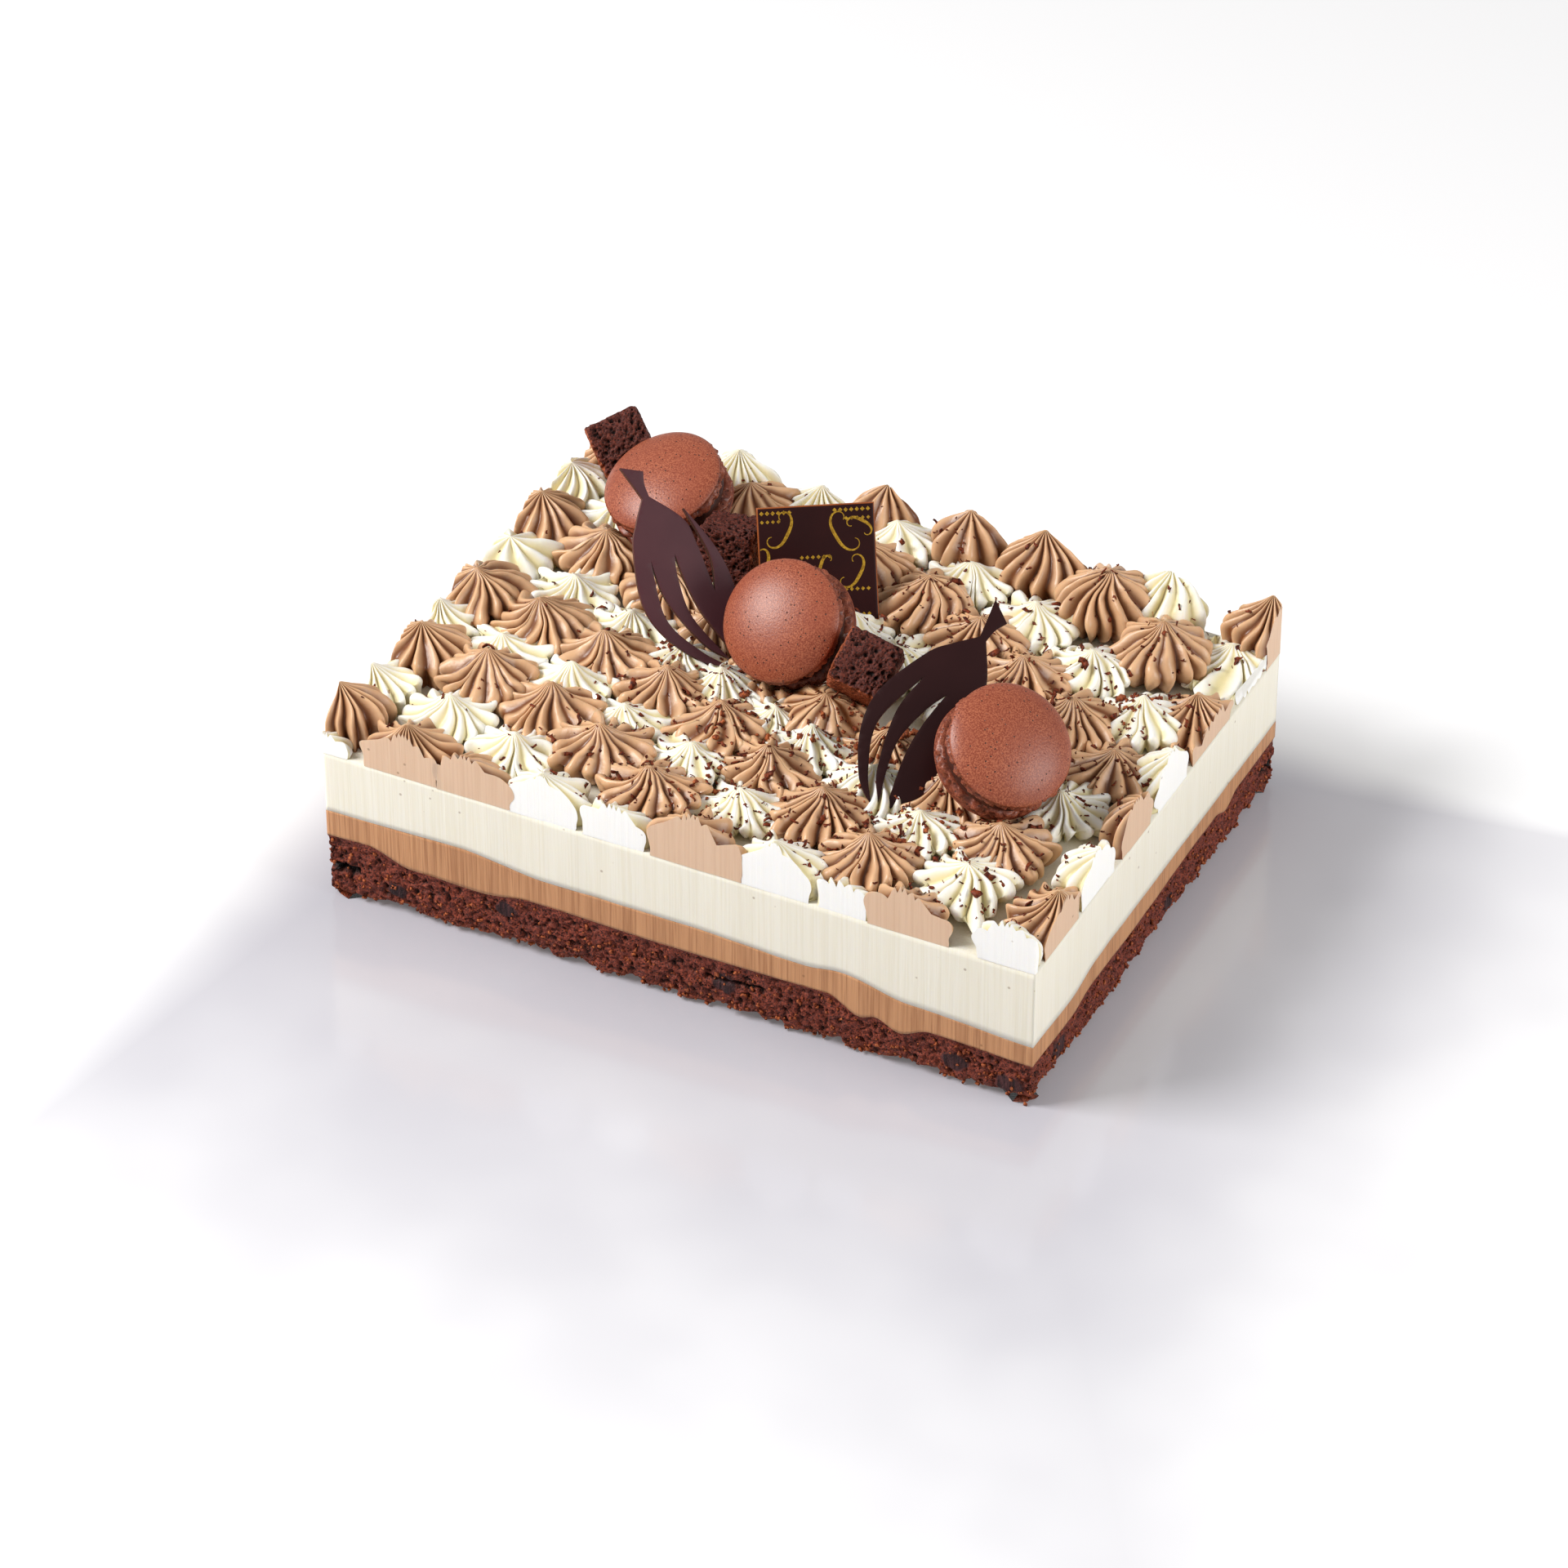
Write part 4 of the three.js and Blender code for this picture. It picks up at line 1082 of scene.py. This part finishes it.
def bake_macarons():
    """Three macarons, each two shells and a filling."""
    for number, spot in enumerate(MACARONS, 1):
        for side, word in ((1, "upper"), (-1, "lower")):
            body, hollow_shade = shell(spot, side, SEED + 20 * number + side)
            make_piece(f"baked_shell_{number}_{word}", body, [SHELL],
                       [f"macaron_{number}_shell_{word}"], {"hollow_shade": hollow_shade})
        make_piece(f"ganache_{number}", filling(spot, SEED + number), [FILLING],
                   [f"macaron_{number}_filling"])


# The cubes: steps of their grids, how square their edges are, their crags as depth, size and
# seed, their two kinds of pits as size, seed, reach and depth, and the faces that are baked
# crust: 0 and 1 face +x and -x of a cube's own axes, 2 and 3 face +y and -y, 4 and 5 +z and -z
CUBE_STEPS = 56
CUBE_SQUARE = 14
CUBE_CRAGS = [(0.42, 3.6, 9), (0.2, 1.5, 10)]
CUBE_PITS = [(2.5, 0, 0.44, 4.4), (1.3, 5, 0.46, 2.8)]
CRUST_FACES = {1: (1,), 2: (0,), 3: (1, 3)}


def cube_faces(steps):
    """A cube of side 2 as six grids: points of each face, in outward order."""
    line = np.linspace(-1, 1, steps)
    u, v = np.meshgrid(line, line, indexing="ij")
    one = np.ones_like(u)
    return [np.stack(face, axis=-1) for face in
            ((one, u, v), (-one, v, u), (v, one, u), (u, -one, v), (u, v, one), (v, u, -one))]


def brownie_cube(number, spot):
    """A cut cube of brownie: six grids with rounded edges, pulled in by crags and bubbles."""
    seed, half, square = SEED + 300 * number, CUBE_SIZE / 2, CUBE_SQUARE
    grids = np.array(cube_faces(CUBE_STEPS))
    points = grids / (np.abs(grids) ** square).sum(axis=-1, keepdims=True) ** (1 / square) * half
    large, small = (pits(points, size, seed + own, reach, depth)
                    for size, own, reach, depth in CUBE_PITS)
    crags = noisy(0.4, points, *[(depth, size, seed + own) for depth, size, own in CUBE_CRAGS])
    pull = np.clip(crags + large + small, 0, 3)
    points = points * (1 - pull / half * 0.9)[..., None]
    # Painted shade mask: high in the cube's pits.
    hollow_shade = np.clip((large + small * 0.6) / 1.5, 0, 1)
    crusty = np.zeros(points.shape[:3])
    for face in CRUST_FACES[number]:
        crusty[face] = np.clip(lumps(points[face], 2.0, seed + 11) * 0.6 + 0.9, 0, 1)
    quads = np.concatenate([sheet_faces(CUBE_STEPS, CUBE_STEPS, face * CUBE_STEPS ** 2)
                            for face in range(len(grids))])
    body = (placed(points.reshape(-1, 3), spot), quads, NO_TRIANGLES)
    merge_seams(make_piece(f"brownie_bite_{number}", body, [BITE],
                           [f"brownie_cube_{number}"], {"hollow_shade": hollow_shade, "crust": crusty}))


def merge_seams(piece):
    """Joins the grids of a piece where their edges meet."""
    solid = bmesh.new()
    solid.from_mesh(piece.data)
    bmesh.ops.remove_doubles(solid, verts=solid.verts[:], dist=2e-6)
    bmesh.ops.recalc_face_normals(solid, faces=solid.faces[:])
    solid.to_mesh(piece.data)
    solid.free()
    piece.data.shade_smooth()


# ---------------------------------------------------------------- leaves and plaque

# Leaf outline, stalk up, neck at the origin: each run of points is one smooth curve
LEAF_CURVES = [
    [(-1.2, 0.3), (-7.3, -5.9), (-12.5, -12.6), (-18.9, -29.8), (-17.5, -43.4), (-10.2, -56.4),
     (-2.6, -62)],
    [(-2.6, -62), (-9.1, -52.8), (-14.3, -38), (-9.2, -18.6)],
    [(-9.2, -18.6), (-11.1, -33), (-6.9, -51.3), (-1.4, -59.8)],
    [(-1.4, -59.8), (-5.9, -42), (-3.9, -28.7), (-0.6, -20.5)],
    [(-0.6, -20.5), (-2.1, -31.7), (-1.9, -43.7), (1.6, -60.6)],
    [(1.6, -60.6), (9, -52), (13.6, -37), (13.8, -24), (10.4, -8.8)],
    [(10.4, -8.8), (10.6, -27), (5.8, -38)],
    [(5.8, -38), (8.2, -22), (8.4, -12), (1.2, 0)],
    [(1.2, 0), (1.9, 4.5), (3.8, 8.2)],
    [(3.8, 8.2), (-3, 12.8)],
    [(-3, 12.8), (-1.8, 5), (-1.2, 0.3)],
]


def smooth_through(points, steps):
    """Catmull-Rom curve through points, the last point left out: a cubic between each two whose
    slopes are half the step from the point before to the point after."""
    points = np.array(points, float)
    padded = np.concatenate([points[:1], points, points[-1:]])
    share = np.arange(steps)[:, None] / steps
    pieces = []
    for before, start, end, after in zip(padded, padded[1:], padded[2:], padded[3:]):
        leave, arrive = (end - before) / 2, (after - start) / 2
        cubic = 2 * start - 2 * end + leave + arrive
        square = -3 * start + 3 * end - 2 * leave - arrive
        pieces.append(cubic * share ** 3 + square * share ** 2 + leave * share + start)
    return np.concatenate(pieces)


def chocolate_leaf(number, spot, face):
    """A cut leaf: its outline filled flat, thickened, cut across by a fine mesh of lines, and
    curled back by the square of the distance from its middle line."""
    rim = np.concatenate([smooth_through(curve, LEAF_SMOOTHNESS) for curve in LEAF_CURVES])
    rim = rim * spot[4]
    rim = rim[np.hypot(*(rim - np.roll(rim, 1, axis=0)).T) > 0.05]
    solid = bmesh.new()
    top = solid.faces.new([solid.verts.new((x, y, LEAF_THICKNESS / 2)) for x, y in rim.tolist()])
    if top.normal.z < 0:
        top.normal_flip()
    top.normal_update()
    bmesh.ops.triangulate(solid, faces=[top])
    for axis, low, high in LEAF_MESH_LINES:
        way = Vector(np.eye(3)[axis])
        for line in np.arange(low, high, LEAF_MESH_STEP):
            bmesh.ops.bisect_plane(solid, geom=solid.verts[:] + solid.edges[:] + solid.faces[:],
                                   dist=1e-4, plane_co=way * line, plane_no=way)
    bmesh.ops.recalc_face_normals(solid, faces=solid.faces[:])
    if sum(each.normal.z for each in solid.faces) < 0:
        bmesh.ops.reverse_faces(solid, faces=solid.faces[:])
    mesh = bpy.data.meshes.new(f"leaf_{number}")
    solid.to_mesh(mesh)
    solid.free()
    points = mesh_points(mesh, np.float64)
    points[:, 2] -= LEAF_CURL * points[:, 0] ** 2
    mesh.vertices.foreach_set("co", (placed(points, spot) * MM).ravel())
    mesh.update()
    mesh.shade_smooth()
    piece = settle(link(f"cut_leaf_{number}", mesh), [face, LEAF_EDGE_HIGHLIGHT],
                   [f"chocolate_leaf_{number}"])
    # The rim gets the leaf edge colour, a painted highlight.
    adjust(piece.modifiers.new("thickness", "SOLIDIFY"), thickness=LEAF_THICKNESS * MM,
           offset=-1, material_offset_rim=1)
    adjust(piece.modifiers.new("worn_edges", "BEVEL"), width=0.22 * MM, segments=2,
           limit_method="ANGLE", angle_limit=math.radians(50))


# The plaque's rings, as how far in from its edge and how high, from -1 to 1; which rows of
# faces are its edge, which carry a painted highlight; and how many points each ring has along a
# side
PLAQUE_RINGS = [(8, -1), (1.2, -1), (0.35, -1), (0.1, -0.85), (0, -0.55), (0, 0.55),
                (0.1, 0.85), (0.35, 1), (1.2, 1), (8, 1)]
PLAQUE_EDGE_ROWS = (2, 6)
PLAQUE_SIDE_POINTS = 40


def chocolate_plaque():
    """The plaque: a square plate as a closed stack of rounded square rings."""
    half, thick = PLAQUE_SIZE / 2, PLAQUE_THICKNESS / 2
    line = np.linspace(-1, 1, PLAQUE_SIDE_POINTS, endpoint=False)
    one = np.ones(PLAQUE_SIDE_POINTS)
    square = np.concatenate([np.stack(side, -1) for side in
                             ((one, line), (-line, one), (-one, -line), (line, -one))])
    rings = np.array([at_level(square * (half - inset), level * thick)
                      for inset, level in PLAQUE_RINGS])
    points, quads, triangles = closed_turn(rings, (0, 0, -thick), (0, 0, thick))
    piece = make_piece("gilt_plaque", (placed(points, PLAQUE), quads, triangles),
                       [PLAQUE_FACE, PLAQUE_EDGE_HIGHLIGHT], ["chocolate_plaque"])
    # The edge rows get the painted highlight colour.
    row = np.repeat(np.arange(len(rings) - 1), len(square))
    index = np.zeros(len(quads) + len(triangles), np.int32)
    index[:len(quads)] = (row >= PLAQUE_EDGE_ROWS[0]) & (row <= PLAQUE_EDGE_ROWS[1])
    piece.data.polygons.foreach_set("material_index", index)


# Scrolls: middle, half length, lean in degrees, curl. Rows of lozenges: start, how many, half
# size.
SCROLL_STEPS = 45
SCROLLS = [
    ((-9, 10), 12.0, 62, 4.4), ((6, 8.5), 13.0, 118, -4.2), ((13, -4), 11.0, 60, 4.3),
    ((-8, -7), 12.5, 128, -4.4), ((3, -12.5), 10.0, 30, 4.1), ((14.5, 13), 8.0, 150, 4.0),
    ((-15, -15), 8.0, 20, -4.0), ((-15.5, 2), 6.5, 84, 3.8), ((1, 0), 6.0, 70, -3.8),
]
LOZENGE_STEP = (1.75, 0)
LOZENGES = [
    ((-17, 16.6), 6, 0.72), ((-17, 13.9), 4, 0.62), ((6, 16.6), 7, 0.72), ((9.5, 13.9), 5, 0.62),
    ((-5, 2.2), 6, 0.66), ((-17, -0.6), 4, 0.62), ((5, -8.4), 7, 0.66), ((-13, -11.4), 6, 0.66),
    ((8.4, -16.4), 5, 0.66), ((-6, -16.4), 4, 0.6),
]


def ribbon(line, width, level):
    """A flat ribbon along a line: each point is moved to both sides by half the width."""
    way = np.gradient(line, axis=0)
    way /= np.linalg.norm(way, axis=1, keepdims=True) + 1e-9
    side = np.stack([-way[:, 1], way[:, 0]], axis=-1) * width[:, None] / 2
    points = at_level(np.stack([line + side, line - side]), level)
    return points.reshape(-1, 3), sheet_faces(2, len(line)), NO_TRIANGLES


def scroll(middle, size, lean, bend):
    """An ornamental S: a line whose curvature grows from its middle to both ends, so that each
    end curls in, broad in the middle and fine at the ends."""
    share = np.linspace(-1, 1, 2 * SCROLL_STEPS + 1)
    heading = lean + bend * share * np.abs(share) ** 1.2
    line = np.cumsum(np.stack([np.cos(heading), np.sin(heading)], axis=-1), axis=0)
    line = (line - line[SCROLL_STEPS]) * size / SCROLL_STEPS + np.array(middle, float)
    width = 0.26 + 0.8 * np.cos(share * np.pi / 2) ** 2
    return line, width


def dots(start, count, size, level):
    """A row of small lozenges."""
    middles = np.array(start, float) + np.arange(count)[:, None] * np.array(LOZENGE_STEP)
    corners = np.array([(1, 0), (0, 1), (-1, 0), (0, -1)]) * size
    points = (middles[:, None] + corners[None]).reshape(-1, 2)
    return at_level(points, level), np.arange(count * 4).reshape(-1, 4), NO_TRIANGLES


def gilding():
    """Gold ornament printed on the plaque: scrolls and rows of lozenges, a plain pattern."""
    level, edge = PLAQUE_THICKNESS / 2 + 0.04, PLAQUE_SIZE / 2 - 0.6
    bodies = []
    for middle, size, lean, bend in SCROLLS:
        line, width = scroll(middle, size, math.radians(lean), bend)
        kept = (np.abs(line) < edge).all(axis=1)
        bodies.append(ribbon(line[kept], width[kept], level))
    bodies += [dots(*row, level) for row in LOZENGES]
    points, quads, triangles = joined(bodies)
    make_piece("plaque_gilding", (placed(points, PLAQUE), quads, triangles), [GOLD],
               flat=True)


# ---------------------------------------------------------------- shavings and crumbs

SHAVING_COUNT = 4200
SIDE_CRUMB_STEP = 0.6

# Heaps of crumbs: middle, spread, how many
CRUMB_HEAPS = [
    ((22, -24), 7.0, 60), ((44, -22), 8.0, 70), ((66, 12), 3.0, 18), ((-12, -30), 8.0, 40),
    ((60, -50), 9.0, 60), ((-42, -8), 3.5, 20), ((96, 30), 6.0, 26), ((34, 12), 6.0, 30),
    ((2, -62), 9.0, 24),
]


def surface_of(pieces):
    """One search tree over the faces of everything that shavings can lie on."""
    points, faces, start = [], [], 0
    for piece in pieces:
        mesh = piece.data
        mesh.calc_loop_triangles()
        corners = np.zeros(len(mesh.loop_triangles) * 3, np.int32)
        mesh.loop_triangles.foreach_get("vertices", corners)
        points.append(mesh_points(mesh))
        faces.append(corners.reshape(-1, 3) + start)
        start += len(mesh.vertices)
    return BVHTree.FromPolygons(np.concatenate(points).tolist(), np.concatenate(faces).tolist())


def shaving_density(x, y):
    """How thickly shavings lie: dense in the middle and to the right, thin to the left and at
    the far side."""
    across = np.clip((x + 85) / 70, 0, 1)
    back = np.clip((95 - y) / 60, 0.35, 1)
    return 0.1 + 0.9 * across ** 1.5 * back


def fall(tree, places):
    """Where things dropped at those places land, and which way the surface faces there."""
    landed, facing = [], []
    for x, y in places:
        spot, normal, _, _ = tree.ray_cast(Vector((x * MM, y * MM, 0.13)), Vector((0, 0, -1)))
        if spot is not None and normal.z > 0.25:
            landed.append(spot)
            facing.append(normal)
    return np.array(landed) / MM, np.array(facing)


def unit(ways):
    """Directions brought to length one."""
    return ways / np.linalg.norm(ways, axis=1, keepdims=True)


def drawn(rng, count, middle, spread, least, most):
    """Random lengths, their logarithms scattered round a middle, within limits."""
    return np.clip(rng.lognormal(middle, spread, count), least, most)


def flakes(landed, facing, sizes, rng, curl):
    """Small curled chips: a 4 by 2 grid of points above and below, its length bent round an
    arc, turned to lie on the surface it landed on and tilted at random."""
    count = len(landed)
    u, v = np.meshgrid(np.linspace(-1, 1, 4), np.array([-1.0, 1.0]), indexing="ij")
    u, v = u.ravel()[None], v.ravel()[None]
    ragged = 1 + 0.35 * rng.uniform(-1, 1, (count, 8))
    length, width, thick = (sizes[:, k:k + 1] for k in range(3))
    bow = curl * rng.uniform(-1, 1, (count, 1)) * length
    x = u * length / 2 * ragged
    y = v * width / 2 * ragged + 0.3 * width * rng.uniform(-1, 1, (count, 8))
    z = bow * (u ** 2 - 0.5)
    own = np.concatenate([np.stack([x, y, z + way * thick / 2], axis=-1) for way in (1, -1)],
                         axis=1)
    turn, tilt = rng.uniform(0, 2 * np.pi, count), rng.normal(0, 0.42, count)
    normal = unit(facing + rng.normal(0, 0.22, (count, 3)))
    across = unit(np.cross(normal, np.stack([np.cos(turn), np.sin(turn), 0.3 * tilt], axis=-1)))
    forward = np.cross(across, normal)
    forward = forward * np.cos(tilt)[:, None] + normal * np.sin(tilt)[:, None]
    axes = np.stack([forward, across, np.cross(forward, across)], axis=1)
    lift = (np.abs(np.sin(tilt)) * sizes[:, 0] * 0.4 + thick[:, 0] * 0.4)[:, None]
    points = np.einsum("nki,nij->nkj", own, axes) + (landed + normal * lift)[:, None]
    quads = np.arange(count)[:, None, None] * own.shape[1] + chip_faces()[None]
    return points.reshape(-1, 3), quads.reshape(-1, 4), NO_TRIANGLES


def chip_faces():
    """Faces of one chip: its upper grid, its lower grid turned over, and the rim between."""
    upper = np.array([(i, i + 2, i + 3, i + 1) for i in (0, 2, 4)])
    lower = upper[:, ::-1] + 8
    loop = [0, 2, 4, 6, 7, 5, 3, 1]
    rim = np.array([(a, a + 8, b + 8, b) for a, b in zip(loop, loop[1:] + loop[:1])])
    return np.concatenate([upper, lower, rim])


def keep_inside(places, margin):
    """Places that are clear of the cake's cut sides by a margin."""
    return places[(np.abs(places) < HALF - margin).all(axis=1)]


def cast_on_sides(tree, rng):
    """Places on the brownie's cut sides where crumbs cling, thickest towards the foot, each
    found by looking straight in from outside."""
    edge, ways = outline(SIDE_CRUMB_STEP)
    level = 1.2 + rng.uniform(0, 1, len(edge)) ** 1.5 * (base_top(*edge.T) - 3)
    landed, facing = [], []
    for (x, y), (way_x, way_y), z in zip(edge, ways, level):
        start = Vector((x + 5 * way_x, y + 5 * way_y, z)) * MM
        spot, normal, _, _ = tree.ray_cast(start, Vector((-way_x, -way_y, 0)).normalized())
        if spot is not None and (spot - start).length < 0.009:
            landed.append(spot)
            facing.append(normal)
    return np.array(landed) / MM, np.array(facing)


def scatter_shavings(tree, sides):
    """Shavings over the whole top by density, and crumbs of brownie in heaps on the cream and
    along the brownie's sides."""
    rng = np.random.default_rng(SEED + 9)
    places = rng.uniform(-1, 1, (SHAVING_COUNT, 2)) * (HALF - 1)
    chosen = places[rng.uniform(0, 1, len(places)) < shaving_density(*places.T)]
    landed, facing = fall(tree, keep_inside(chosen, 2.2))
    length = drawn(rng, len(landed), 0.25, 0.5, 0.6, 3.8)
    width = length * rng.uniform(0.2, 0.55, len(landed))
    sizes = np.stack([length, width, np.clip(length * 0.15, 0.2, 0.45)], -1)
    make_piece("chocolate_shavings", flakes(landed, facing, sizes, rng, 0.35), [SHAVINGS],
               flat=True)

    heaps = [np.array(place) + rng.normal(0, spread, (count, 2))
             for place, spread, count in CRUMB_HEAPS]
    landed, facing = fall(tree, keep_inside(np.concatenate(heaps), 1.5))
    size = drawn(rng, len(landed), -0.15, 0.4, 0.4, 2.2)
    on_top = flakes(landed, facing, np.stack([size, size * 0.8, size * 0.6], -1), rng, 0.1)
    landed, facing = cast_on_sides(sides, rng)
    size = drawn(rng, len(landed), -0.2, 0.35, 0.45, 1.3)
    on_sides = flakes(landed, facing, np.stack([size, size * 0.8, size * 0.7], -1), rng, 0.1)
    points, quads, triangles = joined([on_top, on_sides])
    points[:, :2] = np.clip(points[:, :2], -HALF + 0.05, HALF - 0.05)
    points[:, 2] = np.maximum(points[:, 2], 0.02)
    make_piece("brownie_crumbs", (points, quads, triangles), [CRUMBS], flat=True)


# ---------------------------------------------------------------- floor, light and camera

# Lamps: direction from the cake, distance, size, power and colour
LAMPS = [
    ("left_lamp", (-0.62, -0.40, 0.68), 1.9, (0.85, 0.75), 38.8, (1.0, 0.99, 0.975)),
    ("right_lamp", (0.93, 0.05, 0.38), 1.5, (0.9, 0.6), 11.0, (1.0, 0.99, 0.98)),
]
LAMP_AIM = 50.0
ROOM_LIGHT = 0.36
ROOM_TINT = (1.0, 0.995, 0.985, 1.0)
WHITE = (1.0, 1.0, 1.0, 1.0)
FLOOR_GLOW = 0.1
FLOOR_HALF = 3000.0
# Floor colours: a grey painted near the cake as its shadow and reflection, and a pale one far off.
FLOOR_PAINTED_SHADOW, FLOOR_FAR = (0.45, 0.44, 0.495, 1), (0.95, 0.95, 0.965, 1)
# How wide the painted shadow and reflection round the cake is, and how much quicker it fades
# past each side: axis, direction, quickness
FLOOR_SHADE_WIDTH = 330.0
FLOOR_SHADE_SIDES = [(0, 1.0, 1.6), (0, -1.0, 6.0), (1, 1.0, 12.0), (1, -1.0, 1.0)]

# The view, fitted to the photo's corners: heading and rise in degrees, then millimetres
VIEW_HEADING = 26.31
VIEW_RISE = 35.9
VIEW_DISTANCE = 2039.5
VIEW_HEIGHT = 30.0
VIEW_SHIFT = (-7.2, -7.4)
LENS = 150.0
SENSOR = 36.0


def view_axes():
    """Right, up and back directions of the camera."""
    heading, rise = math.radians(VIEW_HEADING), math.radians(VIEW_RISE)
    back = np.array([math.sin(heading) * math.cos(rise), -math.cos(heading) * math.cos(rise),
                     math.sin(rise)])
    right = np.array([math.cos(heading), math.sin(heading), 0.0])
    return right, np.cross(back, right), back


def set_camera():
    """A camera at the photo's angle, turned by its own axes and aimed past the middle."""
    right, up, back = view_axes()
    target = np.array([0, 0, VIEW_HEIGHT]) + right * VIEW_SHIFT[0] + up * VIEW_SHIFT[1]
    camera = link("view", adjust(bpy.data.cameras.new("view"), lens=LENS, sensor_width=SENSOR,
                                 clip_start=0.05, clip_end=60.0))
    axes = Matrix([[*row] for row in np.stack([right, up, back], axis=1)]).to_4x4()
    camera.matrix_world = Matrix.Translation(Vector((target + back * VIEW_DISTANCE) * MM)) @ axes
    bpy.context.scene.camera = camera


def set_lights():
    """A large soft lamp on the left, a weaker one on the right, and an even pale room that the
    camera sees as white."""
    for name, way, distance, (wide, high), power, colour in LAMPS:
        lamp = link(name, adjust(bpy.data.lights.new(name, "AREA"), shape="RECTANGLE", size=wide,
                                 size_y=high, energy=power, color=colour))
        lamp.location = Vector(way).normalized() * distance
        aim = Vector((0, 0, LAMP_AIM * MM)) - lamp.location
        lamp.rotation_euler = aim.to_track_quat("-Z", "Y").to_euler()
    world = bpy.context.scene.world = bpy.data.worlds.new("room")
    world.use_nodes = True
    tree = world.node_tree
    room, white = tree.nodes["Background"], tree.nodes.new("ShaderNodeBackground")
    choose = tree.nodes.new("ShaderNodeMixShader")
    for number, (node, colour, strength) in enumerate(
            ((room, ROOM_TINT, ROOM_LIGHT), (white, WHITE, 1.0)), 1):
        node.inputs["Color"].default_value = colour
        node.inputs["Strength"].default_value = strength
        tree.links.new(node.outputs[0], choose.inputs[number])
    seen = tree.nodes.new("ShaderNodeLightPath")
    tree.links.new(seen.outputs["Is Camera Ray"], choose.inputs["Fac"])
    tree.links.new(choose.outputs[0], tree.nodes["World Output"].inputs["Surface"])


def lay_floor():
    """A pale floor, faintly glossy, with a grey painted near the cake's front and right sides
    as its shadow and reflection: this painted shade fades with the distance past each side,
    quicker at the back and at the left."""
    finish = Finish("pale_floor", Roughness=0.14, Specular_IOR_Level=0.9)
    finish.shader.inputs["Emission Color"].default_value = WHITE
    finish.shader.inputs["Emission Strength"].default_value = FLOOR_GLOW
    across = finish.add("ShaderNodeSeparateXYZ", {"Vector": finish.place}).outputs
    away = 0.0
    for axis, side, quicker in FLOOR_SHADE_SIDES:
        beyond = finish.math("SUBTRACT", finish.times(across[axis], side), HALF[axis] * MM)
        away = finish.math("MAXIMUM", finish.times(beyond, quicker), away)
    cloud = finish.times(finish.swells(0.012, 2.0, 0.3, 0.7), 0.04)
    far = finish.between(finish.math("ADD", away, cloud), 0.0, FLOOR_SHADE_WIDTH * MM)
    finish.colour(finish.blend(far, FLOOR_PAINTED_SHADOW, FLOOR_FAR))
    corners = np.array([(-1, -1, 0), (1, -1, 0), (1, 1, 0), (-1, 1, 0)]) * FLOOR_HALF * MM
    mesh = bpy.data.meshes.new("floor")
    mesh.from_pydata(corners.tolist(), [], [(0, 1, 2, 3)])
    mesh.materials.append(finish.material)
    link("floor", mesh)


# ---------------------------------------------------------------- the cake

set_camera()
set_lights()
lay_floor()
base = brownie_base()
layer("milk_mousse_layer", base_top, milk_top, MILK_MOUSSE, 0.3, 71, "milk_mousse")
layer("vanilla_mousse_layer", milk_top, lambda x, y: mousse_top(x), VANILLA_MOUSSE, 0.25, 72,
      "vanilla_mousse")
cream = pipe_cream()
bake_macarons()
for number, spot in enumerate(CUBES, 1):
    brownie_cube(number, spot)
chocolate_leaf(1, LEAVES[0], SHEENED_LEAF_FACE)
chocolate_leaf(2, LEAVES[1], DARK_LEAF_FACE)
chocolate_plaque()
gilding()
scatter_shavings(surface_of(cream), surface_of([base]))

bpy.context.scene.view_settings.view_transform = "Standard"
